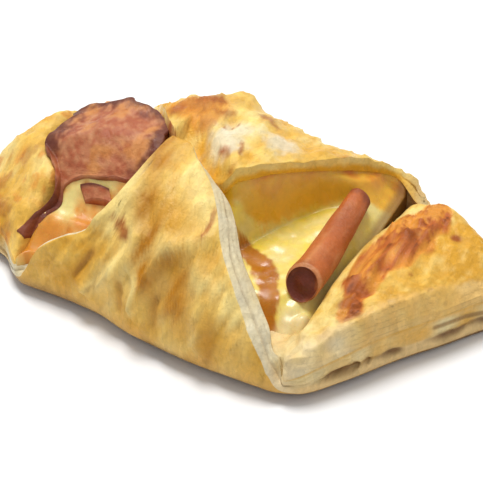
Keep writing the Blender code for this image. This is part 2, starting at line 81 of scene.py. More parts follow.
# How far round each flap reaches, in half turns from under the middle, against X
NEAR_REACH = [(-75, .36), (-52, .38), (-44, .42), (-38, .51), (-33.5, .61), (-27, .655), (-21, .68),
              (-17, .73), (-13, .80), (-10.5, .88), (-8, .97), (-3, .97), (2, .935), (10, .885), (15, .84),
              (20, .78), (27.6, .71), (34, .64), (39, .58), (43, .51), (48, .43), (58, .38), (88, .36)]
FAR_REACH = [(-75, .36), (-57, .38), (-48, .44), (-41, .58), (-33, .70), (-22, .86), (-13, .97),
             (-6, 1.03), (3, 1.07), (10, 1.07), (15, 1.035), (20, .98), (25, .92), (30, .86), (35, .79),
             (40, .72), (47, .62), (51, .57), (55, .51), (58, .45), (63, .41), (88, .36)]
# Height of the dough at the rim of the open ends, against X
NEAR_RIM = [(-75, 11), (-60, 13), (-46, 10), (-38, 8), (38, 8), (46, 9), (54, 12), (64, 14), (80, 13.5),
            (88, 11)]
FAR_RIM = [(-75, 11), (-60, 13), (-46, 12), (-38, 12), (34, 16), (44, 20.5), (51, 20), (58, 18), (66, 17),
           (76, 15.5), (88, 11)]

# The mounds beyond the filling: X of the ridge against Y, height against X past the ridge, and the share of
# that height against Y
RIGHT_RIDGE = [(-40, 53), (-20, 54), (0, 54.5), (10, 55.5), (20, 57.5), (30, 59), (40, 61)]
RIGHT_SLOPE = [(-20, 7), (-13, 9), (-11, 12.5), (-9.3, 17), (-7.5, 19.8), (-5, 21), (-2, 22), (2, 23),
               (6, 22.5), (14, 20), (22, 17), (33, 13)]
RIGHT_SHARE = [(-40, .6), (-22, .88), (0, 1), (26, 1), (34, .84)]
LEFT_RIDGE = [(-40, -45), (-32, -44), (-26, -43), (-23, -42), (-19.5, -40.5), (-17, -39.5), (-14, -40),
              (-10, -42), (-6.5, -46), (-2, -50), (5, -52), (35, -50)]
LEFT_SLOPE = [(-30, 11), (-18, 18), (-9, 24.5), (-3, 26.5), (1, 24.5), (3.3, 14), (6, 7)]
LEFT_SHARE = [(-40, .4), (-32, .48), (-26, .62), (-23, .7), (-19.5, .79), (-17, .88), (-14, .97), (-8, 1.02),
              (30, 1.02)]
# Height of the dough in the near right corner
CORNER_RISE = 13.5

# Creases of the near flap: rise, half width, X and Z of the points they run through
NEAR_CREASES = [
    (2.1, 1.7, [(-2.2, 30), (-4.5, 25.5), (-7.8, 19.7), (-12.2, 13.2)]),
    (-1.6, 1.6, [(-5.5, 26.6), (-9.4, 20.8), (-14.3, 13.5)]),
    (2.2, 1.8, [(17.1, 32.1), (11, 30.7), (5.9, 28.1), (4.1, 24.1), (2.4, 18.9), (0.3, 13.3)]),
    (1.5, 1.8, [(16, 27.5), (19.9, 22.5), (22.4, 14.8), (22, 9)]),
    (-1.2, 2.6, [(8.5, 26), (8, 18), (7.5, 12)]),
    (1.3, 2.2, [(-16.9, 28.3), (-6.6, 37.1)]),
    (-1.3, 1.8, [(-6, 36), (-3.5, 33.5), (-1.8, 31.6)]),
    (1.1, 2.0, [(-24, 15), (-16, 10)]),
]
# Lumps of the far flap: X, Y, radius, rise
FAR_LUMPS = [(-13, 18, 7, 1.6), (8, 22, 5, 0.8), (17, 13, 6, 0.9), (3, 10, 4, -1.0), (11, 3, 3, -0.8),
             (24, 26, 7, 0.9), (-22, 24, 7, 0.9), (12, 36, 8, 1.0), (-8, 38, 8, 0.9)]
# Blistered strip along the right mound: X, Y, half width
BLISTERS = [(55.5, -22, 2.5), (54, -13, 4.4), (54.5, -5, 5.6), (57, 7, 7), (58.5, 18, 7), (60, 24, 4)]

# Depth of the hollows between the two halves of the near right cut edge, against X
HOLLOWS = [(-75, .5), (44, .8), (52, 1.0), (54.5, 1.6), (56, 4.2), (60, 3.6), (61.2, 1.0), (62, 3.0),
           (63, 1.0), (66, 2.6), (67, 2.2), (69, .8), (73, 1.2), (76, 3.0), (78, 2.4), (79.5, 1.6),
           (82, 2.4), (88, .4)]

# The filling: Y of the foot of its high wall, against X, and X of its two ends
WALL_FOOT = [(5, -12), (12, -8), (19, -3), (25, 6), (31, 14), (45, 24)]
FILLING_LEFT = -42.0
FILLING_RIGHT = 47.0

# The rasher: X of its left and right side against Y, and Y of its upper edge against the share of its width
RASHER_LEFT = [(-29, -44.5), (-26, -43), (-23, -41.5), (-19.5, -39.6), (-17, -38.6), (-14, -40),
               (-11.5, -41.5), (-9.8, -44.2), (-8.5, -46.6), (-5.7, -48), (-1, -47.8), (2.5, -46.3),
               (4.5, -47.2)]
RASHER_RIGHT = [(-29, -42.2), (-26, -40.8), (-23, -39.2), (-19.5, -37.3), (-17, -36.3), (-14, -37.2),
                (-12, -35.5), (-10.9, -31), (-10.3, -25), (-9.6, -18.5), (-8.4, -14.5), (-5, -12.5),
                (4.5, -13)]
RASHER_EDGE = [(0, 7.5), (.04, 10.3), (.12, 12.3), (.3, 12.6), (.5, 12.8), (.7, 12), (.85, 9.5), (1, 7)]
RASHER_TOP = 4.5
RASHER_TAIL = -28.5
RASHER_THICKNESS = 2.4
# Corners of the small bit of bacon, X and Y
BIT_CORNERS = [(-32.6, -12.7), (-23.6, -11.9), (-21.6, -14), (-29.6, -15.2)]
BIT_THICKNESS = 2.6
# The roll: middles of its two ends, sag, radii, slant of its near end, and the rings of the hollow there as
# share of the radius and depth
ROLL_NEAR = (40.3, -21.5, 20.6)
ROLL_FAR = (39.5, 19.0, 25.3)
ROLL_SAG = 1.2
ROLL_NEAR_RADIUS = 5.2
ROLL_FAR_RADIUS = 3.2
ROLL_SLANT = 2.4
ROLL_HOLLOW = ((0.1, 2.2), (0.35, 2.2), (0.6, 1.9), (0.76, 1.2), (0.86, 0.4))

# Paths that wrinkles of the near flap share with its coloured bands, X and Z
LEFT_FOLD = [(-3.8, 29.7), (-6.9, 24.1), (-9.4, 19), (-13.3, 14.1), (-17.3, 9.8)]
MIDDLE_FOLD = [(-3.3, 23.1), (-1.3, 20.6), (0, 18.7), (-0.3, 11.9)]
SLANTED_FOLD = [(4.3, 29.7), (10.1, 31.7), (15.7, 32.9)]
END_GROOVE = [(-17, 20), (-18.3, 17.1), (-20.8, 12.8)]
LEFT_GROOVE = [(-9.5, 18.5), (-11.1, 16.5), (-15.7, 10.8)]
RIGHT_GROOVE = [(6.6, 17), (7, 10.4)]
# Fine wrinkles of the near flap: rise, half width, path
WRINKLES = [(1.1, 0.9, LEFT_FOLD), (0.9, 0.8, MIDDLE_FOLD), (-1.0, 0.9, LEFT_GROOVE), (-1.0, 0.9, END_GROOVE),
            (-0.8, 0.8, [(-5.3, 17), (-4.5, 14.4), (-4.4, 10.9)]), (0.8, 0.8, SLANTED_FOLD),
            (-0.8, 0.8, RIGHT_GROOVE), (0.8, 0.9, [(-7.9, 40), (-7.5, 36), (-4.6, 33)]),
            (0.8, 0.9, [(16.8, 26.5), (22.8, 24.6), (24, 19)])]
# Golden and pale bands that run down the near flap, partly the crust's colour and partly painted light:
# golden as painted shade in the grooves and folds, pale as painted highlight on the ridges and lit facets:
# strength, half width, path
GOLDEN_BANDS_AND_SHADE = [(0.95, 4.0, [(-7.5, 41), (-6, 37), (-0.7, 31.7), (0.1, 24.6), (1.8, 22.4)]),
                (0.95, 5.2, [(8, 27), (12, 26), (12, 21), (12.5, 17)]), (0.6, 1.6, RIGHT_GROOVE),
                (0.6, 1.4, [(-5.3, 17), (-4.4, 10.9)]), (0.7, 1.7, END_GROOVE), (0.7, 1.3, LEFT_GROOVE),
                (0.6, 2.2, [(24, 18), (25, 12), (24, 6)])]
PALE_BANDS_AND_HIGHLIGHTS = [(0.8, 1.5, LEFT_FOLD), (0.7, 1.3, MIDDLE_FOLD), (1.0, 3.4, [(-14, 29), (-11.5, 36.5)]),
              (0.7, 2.2, [(16.8, 26.5), (22.8, 24.6)]), (0.8, 2.2, [(25, 25), (28, 22.5), (30.7, 19.6)]),
              (0.6, 3.5, [(3.4, 39.9), (12, 37.8)]), (0.6, 1.5, SLANTED_FOLD),
              (0.5, 2.0, [(20, 14), (21, 8)])]
# Browned places of the near flap: X, Z, radius, strength
NEAR_SPOTS = [(-10.2, 29.6, 1.7, 0.9), (-7.6, 28.2, 1.5, 0.85), (-12.4, 30.2, 1.0, 0.6), (15, 34.9, 0.8, 0.8),
              (14.5, 36.5, 0.6, 0.6)]
# Browned places of the far flap: X, Y, radius, strength
FAR_SPOTS = [(8.5, 22.5, 3.2, 0.75), (41.2, 31.9, 1.7, 0.8), (44.5, 38.6, 1.7, 0.7), (-14.8, 10.5, 3.2, 0.75),
             (-9.7, 20, 3.6, 0.75), (-6.2, 20.1, 2.6, 0.7), (-2.2, 15.9, 2.8, 0.7), (-8.4, -0.1, 1.4, 0.8),
             (-11.5, 14, 4.5, 0.5), (-3.5, 8, 3.0, 0.35), (7.1, -1.7, 1.6, 0.6), (12, -6, 1.2, 0.5),
             (33, 22, 2.2, 0.5), (38.5, 27.5, 2.0, 0.6)]
# Line of the steep flank above the near right cut edge, X and Y
NEAR_FLANK = [(50, -41), (80.8, 6.3), (87, 14)]
# Middles of the greyish places of the far flap
GREY_PLACES = [(19, 12), (6, 10), (4, 3)]
# Cracks of the far flap: X and Y of the points they run through
FAR_CRACKS = [[(9.5, 4.5), (11, 1.8), (11.6, -0.6)], [(5.4, -0.6), (7.1, -1.7), (9.4, -2.2)],
              [(9.1, -9.1), (12.7, -10.8)], [(-9.6, 1.2), (-7.4, -1.0)], [(1, 9), (3.4, 10.4), (4.2, 12.6)]]
# Browned places of the mounds: X, Y, radius, strength
MOUND_SPOTS = [(68.7, 18.4, 1.6, 0.95), (65, 9.2, 1.3, 0.9), (64.3, -2.5, 0.7, 0.9),
               (54.5, -3.7, 2.0, 0.7), (58, 11.9, 2.6, 0.8), (53.8, -20, 2.6, 0.8), (55, -13.6, 2.6, 0.7),
               (-53.6, -8.8, 2.4, 0.5), (-51, -7.4, 1.6, 0.45), (-58.2, -13.6, 2.6, 0.55),
               (-52.9, -22.3, 2.6, 0.5), (-60.1, -6.3, 1.3, 0.6), (-56.5, -20, 3.2, 0.4),
               (-50, -27, 2.4, 0.45)]
# Painted shade of a slit in the near right cut edge, X and Z, and the painted shade under the flap's lip
# there
SLIT_SHADE_PATH = [(74, 9.3), (79, 9), (84, 7)]
LIP_SHADE = (48, 10.3)
# Browned fringe of the cheese along the near flap, X and Y
FRINGE_PATH = [(16, -9.2), (21, -11.5), (26.5, -14.5), (30.5, -19.5), (33, -25), (35, -31)]
# Amber place of the far flap, and the cream and orange places of the cheese at the left: X, Y, radius
AMBER_PLACE = (-9, 15, 8)
CREAM_PLACE = (-34.5, -17.5, 4.5)
OOZE_PLACES = [(-18, -14, 6), (-36, -27, 7)]

# Colours, as sRGB from 0 to 255
PALE = (255, 228, 146)
CREAM = (250, 209, 106)
GOLD = (230, 170, 54)
DEEP_GOLD = (190, 124, 18)
BROWN = (168, 86, 28)
AMBER = (230, 150, 54)
RUST = (188, 96, 40)
DARK_BROWN = (104, 48, 22)
LAYER = (232, 212, 164)
# Painted shade in the thin gaps between layers of dough
PAINTED_LAYER_SHADE = (150, 112, 58)
POOL = (240, 222, 140)
POOL_YELLOW = (250, 222, 80)
POOL_PALE = (240, 220, 170)
WALL = (246, 188, 54)
WALL_OLIVE = (238, 190, 40)
WALL_DARK = (220, 124, 30)
FRINGE = (184, 110, 18)
OOZE = (222, 144, 44)
PALE_GREY = (236, 226, 196)
TAN = (226, 178, 100)
SHEET = (240, 204, 140)
# Painted shade in the gaps of the cut edges and under the flap's lip
PAINTED_GAP_SHADE = (118, 76, 34)
PAINTED_VALLEY_SHADE = (150, 112, 62)
WRINKLE_SHADE = (176, 126, 56)
FLANK = (242, 204, 134)
# Painted shade where the skin meets the floor
PAINTED_CONTACT_SHADE = (112, 72, 32)
MEAT = (178, 96, 60)
MEAT_PALE = (208, 142, 98)
MEAT_DARK = (92, 38, 26)
MEAT_BURNT = (128, 60, 34)
ROLL = (196, 104, 46)
ROLL_PALE = (220, 150, 96)
ROLL_DARK = (108, 42, 26)

# In the crust's material: width of the streaks, how far they lean from upright, size of the flakes, and how
# far their outlines bend
FLAKE_SIZE = 2.4
FLAKE_LEAN = 0.5
SCALE_SIZE = 1.9
SCALE_BEND = 2.4

# The camera, from the outlines in the photo: azimuth, elevation, distance and focal length in picture widths
AZIMUTH = np.radians(28)
ELEVATION = np.radians(38)
DISTANCE = 600.0
FOCAL = 2100 / 483
AIM_RIGHT = 10.43
AIM_UP = 5.86

# The light, in metres and watts, and the strength of the white surroundings
LIGHT_PLACE = (-0.15, 0.12, 0.8)
LIGHT_SIZE = 0.35
LIGHT_POWER = 5.7
SKY_STRENGTH = 0.52
FLOOR_HALF = 3.0

# Mesh sizes
SECTIONS = 290
SKIN_POINTS = 131
EDGE_POINTS = 27
ACROSS_POINTS = 90

# How far the meshes stay inside the box of the solids
BOX_MARGIN = 0.05


def smooth_table(x, stations):
    """Values of a smooth curve through (place, value) stations, without overshoot between them."""
    places, values = np.array(stations, float).T
    gap = np.diff(places)
    rise = np.diff(values) / gap
    slope = np.zeros(len(places))
    slope[0] = rise[0]
    slope[-1] = rise[-1]
    for i in range(1, len(places) - 1):
        if rise[i - 1] * rise[i] > 0:
            slope[i] = 2 * rise[i - 1] * rise[i] / (rise[i - 1] + rise[i])
    x = np.clip(x, places[0], places[-1])
    i = np.clip(np.searchsorted(places, x) - 1, 0, len(places) - 2)
    t = (x - places[i]) / gap[i]
    start = (1 + 2 * t) * (1 - t) ** 2 * values[i] + t * (1 - t) ** 2 * gap[i] * slope[i]
    end = t * t * (3 - 2 * t) * values[i + 1] + t * t * (t - 1) * gap[i] * slope[i + 1]
    return start + end


def ramp(x, low, high):
    """0 at low, 1 at high, smooth between."""
    t = np.clip((x - low) / (high - low), 0, 1)
    return t * t * (3 - 2 * t)


def signed_power(value, exponent):
    """Power of the size of a value, with its sign kept."""
    return np.sign(value) * np.abs(value) ** exponent


LATTICE = np.random.default_rng(SEED).uniform(-1, 1, (32, 32, 32))


def noise(points, size):
    """Smooth random values from -1 to 1, with lumps of the given size."""
    q = np.asarray(points) / size
    cell = np.floor(q).astype(int)
    t = q - cell
    t = t * t * (3 - 2 * t)
    total = 0
    for corner in np.ndindex(2, 2, 2):
        i, j, k = np.moveaxis((cell + corner) % 32, -1, 0)
        weight = np.prod(np.where(corner, t, 1 - t), axis=-1)
        total = total + LATTICE[i, j, k] * weight
    return total


def layered_noise(points, size, octaves=3):
    """Noise with finer and finer lumps on it."""
    total = 0
    for octave in range(octaves):
        total = total + noise(np.asarray(points) + 17.3 * octave, size / 2.1 ** octave) * 0.55 ** octave
    return total


def unit(vectors):
    """The same directions with length 1."""
    return vectors / (np.linalg.norm(vectors, axis=-1, keepdims=True) + 1e-12)


def distance_to_path(u, v, path):
    """Distance from points (u, v) to a broken line in the same plane."""
    best = np.full(np.shape(u), 1e9)
    for (u0, v0), (u1, v1) in zip(path[:-1], path[1:]):
        du = u1 - u0
        dv = v1 - v0
        t = np.clip(((u - u0) * du + (v - v0) * dv) / (du * du + dv * dv), 0, 1)
        best = np.minimum(best, np.hypot(u - u0 - t * du, v - v0 - t * dv))
    return best


def along_path(u, v, path, width):
    """1 on a path, falling off softly over the width."""
    return np.exp(-(distance_to_path(u, v, path) / width) ** 2)


def on_plane(x, y):
    """Points at height 0."""
    return np.stack([x, y, np.zeros_like(x)], -1)


def arm(x, theta, side, skin=0.0, base=0.0):
    """Y and Z of one side of the sheet, theta round from under the middle; side is -1 near or +1 far."""
    near = smooth_table(x, NEAR_SIDE)
    far = smooth_table(x, FAR_SIDE)
    middle = (near + far) / 2
    half = (far - near) / 2
    height = smooth_table(x, CREST)
    belly = smooth_table(x, FAR_BELLY) if side > 0 else NEAR_BELLY
    widest = np.minimum(belly, 0.35 * height + np.maximum(0, belly - 9)) - UNDERSIDE_TRIM
    low = 2 / 3.8
    high = 2 / 1.85
    c = np.cos(theta)
    s = np.sin(theta)
    under = theta < np.pi / 2
    y = middle + side * np.maximum(half - skin, 0.3 * half) * signed_power(s, np.where(under, low, high))
    rise = (widest + UNDERSIDE_TRIM - base) * (1 - signed_power(c, low))
    z_under = np.maximum(rise - UNDERSIDE_TRIM, 0) + base
    z_above = widest - (height - skin - widest) * signed_power(c, high)
    return y, np.where(under, z_under, z_above)


def mound(x, y):
    """Height of the puffed dough beyond the filling, at the end that x is on."""
    right = smooth_table(x - smooth_table(y, RIGHT_RIDGE), RIGHT_SLOPE) * smooth_table(y, RIGHT_SHARE)
    right = np.maximum(right, near_corner(x, y))
    left = smooth_table(x - smooth_table(y, LEFT_RIDGE), LEFT_SLOPE) * smooth_table(y, LEFT_SHARE)
    return np.where(x > 0, right, left)


def near_corner(x, y):
    """Height of the dough in the near corner, 0 away from it."""
    return CORNER_RISE * ramp(y, -24, -29.5) * ramp(x, 29, 37)


def pastry_skins():
    """Outer and inner skin of the folded sheet on one grid, where it is mound, and tau of each point.

    Tau runs from -1 at the near edge over 0 under the middle to 1 at the far edge."""
    u = np.linspace(0, 1, SECTIONS)
    along = LEFT_TIP + 0.25 + (RIGHT_TIP - LEFT_TIP - 0.5) * (u - 0.028 * np.sin(2 * np.pi * u))
    across = np.linspace(-1, 1, SKIN_POINTS)
    across = np.sign(across) * (1 - (1 - np.abs(across)) ** 1.3)
    x, tau = np.meshgrid(along, across, indexing="ij")
    near_reach = smooth_table(x, NEAR_REACH) * np.pi
    far_reach = smooth_table(x, FAR_REACH) * np.pi
    theta = np.where(tau < 0, near_reach, far_reach) * np.abs(tau)
    near_edge_y = arm(x, near_reach, -1)[0]
    swell = 6.5 * np.exp(-((x + 5) / 9) ** 2 - ((theta / np.pi - 0.74) / 0.13) ** 2)
    skins = []
    for skin, base in ((0, 0), (FLAP_THICKNESS, BASE_THICKNESS)):
        near_y, near_z = arm(x, theta, -1, skin, base)
        far_y, far_z = arm(x, theta, 1, skin, base)
        lapped = ramp(far_y, near_edge_y + 13, near_edge_y + 2) * ramp(theta, 0.6 * np.pi, 0.8 * np.pi)
        far_z = far_z - (FLAP_THICKNESS + LAP_CLEARANCE) * lapped + 0.8 * swell
        far_y = far_y + 0.6 * swell
        skins.append(np.stack([x, np.where(tau < 0, near_y, far_y), np.where(tau < 0, near_z, far_z)], -1))
    outer, inner = skins
    inward = unit(np.cross(np.gradient(outer, axis=0), np.gradient(outer, axis=1)))
    outer = outer - inward * skin_relief(outer, tau, np.where(tau < 0, 0, lapped))[..., None]

    reach = np.where(tau < 0, near_reach, far_reach)
    folded = ramp(reach, 0.44 * np.pi, 0.51 * np.pi)
    open_end = np.maximum(ramp(x, 38, 47), ramp(x, -34, -42))
    end = open_end * (1 - folded * ramp(theta, 0.3 * np.pi, 0.5 * np.pi))
    y = outer[..., 1] * (1 - folded) + inner[..., 1] * folded
    dome = mound(x, y)
    rim = np.where(tau < 0, smooth_table(x, NEAR_RIM), smooth_table(x, FAR_RIM))
    rim = rim * (1 - folded) + dome * folded
    inset = (1 - np.abs(tau)) * (smooth_table(x, FAR_SIDE) - smooth_table(x, NEAR_SIDE)) / 2
    top = rim + (dome - rim) * ramp(inset, 0, 13) - 1.5 * ramp(inset, 2.5, 0) * (1 - folded)
    top = top + mound_relief(x, y) * ramp(inset, 0, 6) * end
    puffed = np.stack([x, y, np.maximum(top, outer[..., 2] + 4)], -1)
    inner = inner * (1 - end[..., None]) + puffed * end[..., None]
    dough = near_corner(x, inner[..., 1]) * (folded + (1 - folded) * ramp(inset, 0, 8))
    dough = np.maximum(dough, mound(x, inner[..., 1]) * open_end * folded * (tau < 0))
    inner[..., 2] += 0.7 * np.maximum(0, dough - inner[..., 2])
    lumps = 1.2 * noise(inner, 4.5) + 0.6 * noise(inner + 7, 2.2)
    inner[..., 2] += near_corner(x, inner[..., 1]) / CORNER_RISE * lumps * ramp(inset, 0, 3)
    inner[..., 0] += 4.5 * ramp(-tau, 0.8, 1) * ramp(x, -2, 12) * ramp(x, 43, 33)
    inner[..., 1] += 3.5 * ramp(tau, 0.8, 1) * ramp(x, 12, 20) * ramp(x, 50, 42)
    return outer, inner, end, tau


def skin_relief(outer, tau, lapped):
    """How far the outer skin stands out: creases on the near side, lumps on the far one, fine unevenness."""
    x, y, z = np.moveaxis(outer, -1, 0)
    height = 0.45 * noise(outer, 9) + 0.25 * noise(outer, 4.5)
    creases = 0
    for rise, width, path in NEAR_CREASES + WRINKLES:
        creases = creases + rise * along_path(x, z, path, width)
    lumps = 0
    for cx, cy, radius, rise in FAR_LUMPS:
        away = np.hypot(x - cx, y - cy)
        lumps = lumps + rise * np.exp(-(away / radius) ** 2)
    shown = ramp(np.abs(x - 5), 45, 38)
    fine = 0.26 * noise(outer + 3, 2.3) + 0.3 * streaks(outer) + 0.12 * noise(outer, 1.1)
    fine = fine + 0.4 * flake_edges(outer) + 0.4 * terraces(outer)
    return (height + fine + np.where(tau < 0, creases, lumps) * shown) * ramp(z, 3, 8) * (1 - lapped)


def terraces(points):
    """Uneven flat steps with narrow slopes between them, like flakes that lie on each other."""
    x, y, z = np.moveaxis(points, -1, 0)
    leaning = np.stack([x - 0.5 * z, 0.6 * y, 0.6 * z], -1)
    level = 2.4 * noise(leaning + 60, 8) + 1.1 * noise(leaning + 66, 3.2)
    step = np.floor(level)
    return step + ramp(level - step, 0.7, 1.0)


def flake_edges(points):
    """1 along the thin raised edges of the flakes, 0 between them."""
    wide = ramp(np.abs(streaks(points + 12, 4.5)), 0.13, 0) * ramp(noise(points + 21, 6), -0.3, 0.2)
    narrow = ramp(np.abs(streaks(points + 40, 3.0)), 0.1, 0) * ramp(noise(points + 50, 5), 0, 0.4)
    return np.maximum(wide, narrow)


def streaks(points, size=2.0):
    """Noise drawn out along the folds, which run down and a little to the left."""
    x, y, z = np.moveaxis(points, -1, 0)
    return noise(np.stack([x - 0.55 * z, 0.2 * y, 0.2 * z], -1), size)


def cells(points, size):
    """Distance to the nearest of many scattered points, 0 at one and about 1 between them."""
    q = np.asarray(points) / size
    cell = np.floor(q).astype(int)
    best = np.full(q.shape[:-1], 9.0)
    for step in np.ndindex(3, 3, 3):
        corner = cell + step - 1
        i, j, k = np.moveaxis(corner % 32, -1, 0)
        centre = corner + 0.5 + 0.45 * np.stack([LATTICE[i, j, k], LATTICE[j, k, i], LATTICE[k, i, j]], -1)
        best = np.minimum(best, np.linalg.norm(q - centre, axis=-1))
    return best


def blister_strip(x, y):
    """1 inside the blistered strip along the right mound, 0 outside it."""
    strip = distance_to_path(x, y, [(bx, by) for bx, by, _ in BLISTERS])
    half_width = smooth_table(y, [(by, half) for _, by, half in BLISTERS])
    ragged = 1.6 * noise(on_plane(x, y) + 9, 4)
    return ramp(strip + ragged, half_width + 1.2, half_width - 1.2) * (x > 0)


def mound_relief(x, y):
    """Blisters along the right mound and soft lumps on both."""
    spots = on_plane(x, y)
    strip = blister_strip(x, y)
    soft = 0.6 * noise(spots + 5, 8) + 0.6 * noise(spots + 2, 3.4) + 0.22 * noise(spots, 1.3)
    soft = soft + 0.3 * ramp(np.abs(noise(spots + 30, 4)), 0.12, 0)
    bubbles = np.maximum(0, 0.75 - cells(spots, 3.0)) + 0.6 * np.maximum(0, 0.7 - cells(spots + 40, 1.6))
    return soft + strip * (1.3 * noise(spots, 3.6) + 2.2 * bubbles - 0.6)


def leaf_pattern(points, t, layers):
    """1 on the puffed leaves of a cut edge, 0 in the thin gaps between them."""
    wavy = t * layers + 1.3 * noise(points * (0.3, 0.3, 0.8), 4.0) + 0.5 * noise(points * (1, 1, 2), 2.2)
    return np.abs(np.sin(np.pi * wavy)) ** 0.6


def gap_depth(points, t, share, along):
    """The gap between the two thick halves of a cut edge: 1 in its middle, wavy, closed here and there."""
    line = share + 0.1 * np.sin(along / 6.5) + 0.07 * noise(points, 6) + 0.04 * noise(points, 2.2)
    broken = ramp(noise(points + 11, 7), -0.45, 0.0)
    half_width = 0.075 + 0.07 * ramp(smooth_table(along, HOLLOWS), 1.2, 3.4)
    return np.exp(-((t - line) / half_width) ** 2) * (0.35 + 0.65 * broken)


def cut_edge(outer_edge, inner_edge, away, share, depth, open_end, flaky, layers):
    """Rows across a cut edge from the outer skin to the inner one, with grooves between the puffed layers."""
    rows = []
    for row in range(1, EDGE_POINTS + 1):
        t = row / (EDGE_POINTS + 1)
        line = outer_edge * (1 - t) + inner_edge * t
        swell = 0.5 * np.sin(np.pi * t) + 0.6 * open_end * np.sin(np.pi * np.clip(t / share, 0, 1))
        groove = depth * gap_depth(line, t, share, outer_edge[:, 0])
        upper = 1 - open_end * ramp(t, share + 0.03, share - 0.03)
        leaves = (leaf_pattern(line, t, layers) - 0.6) * (0.4 + 0.5 * noise(line, 5.0)) * upper
        leaves = leaves * np.sin(np.pi * t) ** 0.5 * flaky
        rows.append(line + away * (swell - groove + leaves)[:, None])
    return np.stack(rows, 1)


def edge_measures(along):
    """Of the cut edges: 1 at the open ends, the height share of the gap in them, and the count of layers."""
    open_end = np.maximum(ramp(along, 42, 52), ramp(along, -42, -52))
    return open_end, 0.5 - 0.12 * open_end + 0.03 * np.sin(along / 5), 3.5 + 4.5 * open_end


def pastry_rings(outer, inner):
    """Closed sections of the pastry: outer skin, far cut edge, inner skin back, near cut edge."""
    along = outer[:, 0, 0]
    open_end, share, layers = edge_measures(along)
    depth = 0.5 + open_end * (1.6 + 0.9 * np.sin(along / 3.7 + 1) + 0.5 * np.sin(along / 1.9))
    near_depth = np.where(along > 44, smooth_table(along, HOLLOWS), depth)
    taper = ramp(along, LEFT_TIP, LEFT_TIP + 9) * ramp(along, RIGHT_TIP, RIGHT_TIP - 9)
    edges = []
    for end, beside, flaky, groove in ((-1, -2, taper * open_end, depth), (0, 1, taper, near_depth)):
        away = unit(outer[:, end] - outer[:, beside])
        away[:, 2] *= 1 - open_end
        edge = cut_edge(outer[:, end], inner[:, end], away, share, groove * flaky, open_end, flaky, layers)
        edges.append(edge)
    far_edge, near_edge = edges
    return np.concatenate([outer, far_edge, inner[:, ::-1], near_edge[:, ::-1]], 1)


def pastry_faces():
    """Faces between the pastry's sections, and a strip of faces over the sheet's thickness at each tip."""
    ring = 2 * (SKIN_POINTS + EDGE_POINTS)
    faces = ring_faces(SECTIONS, ring)
    inner_end = 2 * SKIN_POINTS + EDGE_POINTS - 1
    for section, turn in ((0, 1), (SECTIONS - 1, -1)):
        start = section * ring
        for j in range(SKIN_POINTS - 1):
            quad = [start + j, start + j + 1, start + inner_end - j - 1, start + inner_end - j]
            faces.append(quad[::turn])
        far_fan = [start + SKIN_POINTS - 1 + k for k in range(EDGE_POINTS + 2)]
        near_fan = [start + inner_end + k for k in range(EDGE_POINTS + 1)] + [start]
        faces.append(far_fan[::turn])
        faces.append(near_fan[::turn])
    return faces


def ring_faces(rings, points):
    """Quads between closed rings of points that follow each other."""
    faces = []
    for i in range(rings - 1):
        for j in range(points):
            k = (j + 1) % points
            faces.append([i * points + j, (i + 1) * points + j, (i + 1) * points + k, i * points + k])
    return faces


def filling_height(x, y):
    """Height of the filling's open surface."""
    foot = smooth_table(x, WALL_FOOT)
    right = 17 + 0.12 * (y + 20) + 14 * ramp(y, foot - 1, foot + 7) * ramp(x, 43, 32)
    right = right - 5 * ramp(x, 39, 47) - 6 * ramp(y, -22, -32)
    right = right + 3 * ramp(np.hypot(x - 44.5, y + 26), 4.5, 1)
    right = right - 1.2 * ramp(np.hypot(x - 39.5, y + 22.5), 4.5, 2)
    left = 18 + 19 * ramp(y, -20, 1) - 14 * ramp(y, 13, 24) - 7 * ramp(y, -20, -30)
    left = np.minimum(left, 30 + 0.45 * (x + 46)) - 3.5 * ramp(x, -40, -43.5) * ramp(y, -4, -8)
    return np.where(x > 0, right, left)


def filling_rings(outer, inner, end_weight):
    """Closed sections of the filling: inside the sheet's thickness all round, then across the opening."""
    inside = (outer[:, 0, 0] > FILLING_LEFT) & (outer[:, 0, 0] < FILLING_RIGHT)
    share = 0.1 + 0.4 * end_weight[..., None]
    middle = (outer * share + inner * (1 - share))[inside]
    start = middle[:, -1]
    end = middle[:, 0]
    rows = []
    for row in range(1, ACROSS_POINTS + 1):
        t = row / (ACROSS_POINTS + 1)
        across = start * (1 - t) + end * t
        surface = filling_height(across[:, 0], across[:, 1])
        surface = np.where(across[:, 0] > 0, np.minimum(surface, start[:, 2] - 0.5), surface)
        for rim in (start, end):
            surface = np.maximum(surface, rim[:, 2] - 2.5 * np.abs(across[:, 1] - rim[:, 1]))
        across[:, 2] = surface
        melted = 0.35 * noise(across, 5) + 0.2 * noise(across + 3, 2.2)
        across[:, 2] += melted * np.sin(np.pi * t) ** 0.3
        rows.append(across)
    return np.concatenate([middle, np.stack(rows, 1)], 1)


def capped_rings(rings):
    """Points and faces of a tube of closed rings, with each end closed by one face."""
    count, points = rings.shape[:2]
    faces = ring_faces(count, points)
    faces.append(list(range(points)))
    faces.append([(count - 1) * points + k for k in reversed(range(points))])
    return rings, faces


def slab(top, thickness):
    """Points and faces of a curved sheet: a grid of its top, and the same grid lower down."""
    rows, columns = top.shape[:2]
    low = top.copy()
    low[..., 2] -= thickness
    size = rows * columns
    faces = []
    for i in range(rows - 1):
        for j in range(columns - 1):
            a = i * columns + j
            quad = [a, a + columns, a + columns + 1, a + 1]
            faces.append(quad)
            faces.append([size + k for k in reversed(quad)])
    border = list(range(columns))
    border += [i * columns + columns - 1 for i in range(1, rows)]
    border += [(rows - 1) * columns + j for j in reversed(range(columns - 1))]
    border += [i * columns for i in reversed(range(1, rows - 1))]
    for a, b in zip(border, border[1:] + border[:1]):
        faces.append([a, b, size + b, size + a])
    return np.concatenate([top.reshape(-1, 3), low.reshape(-1, 3)]), faces


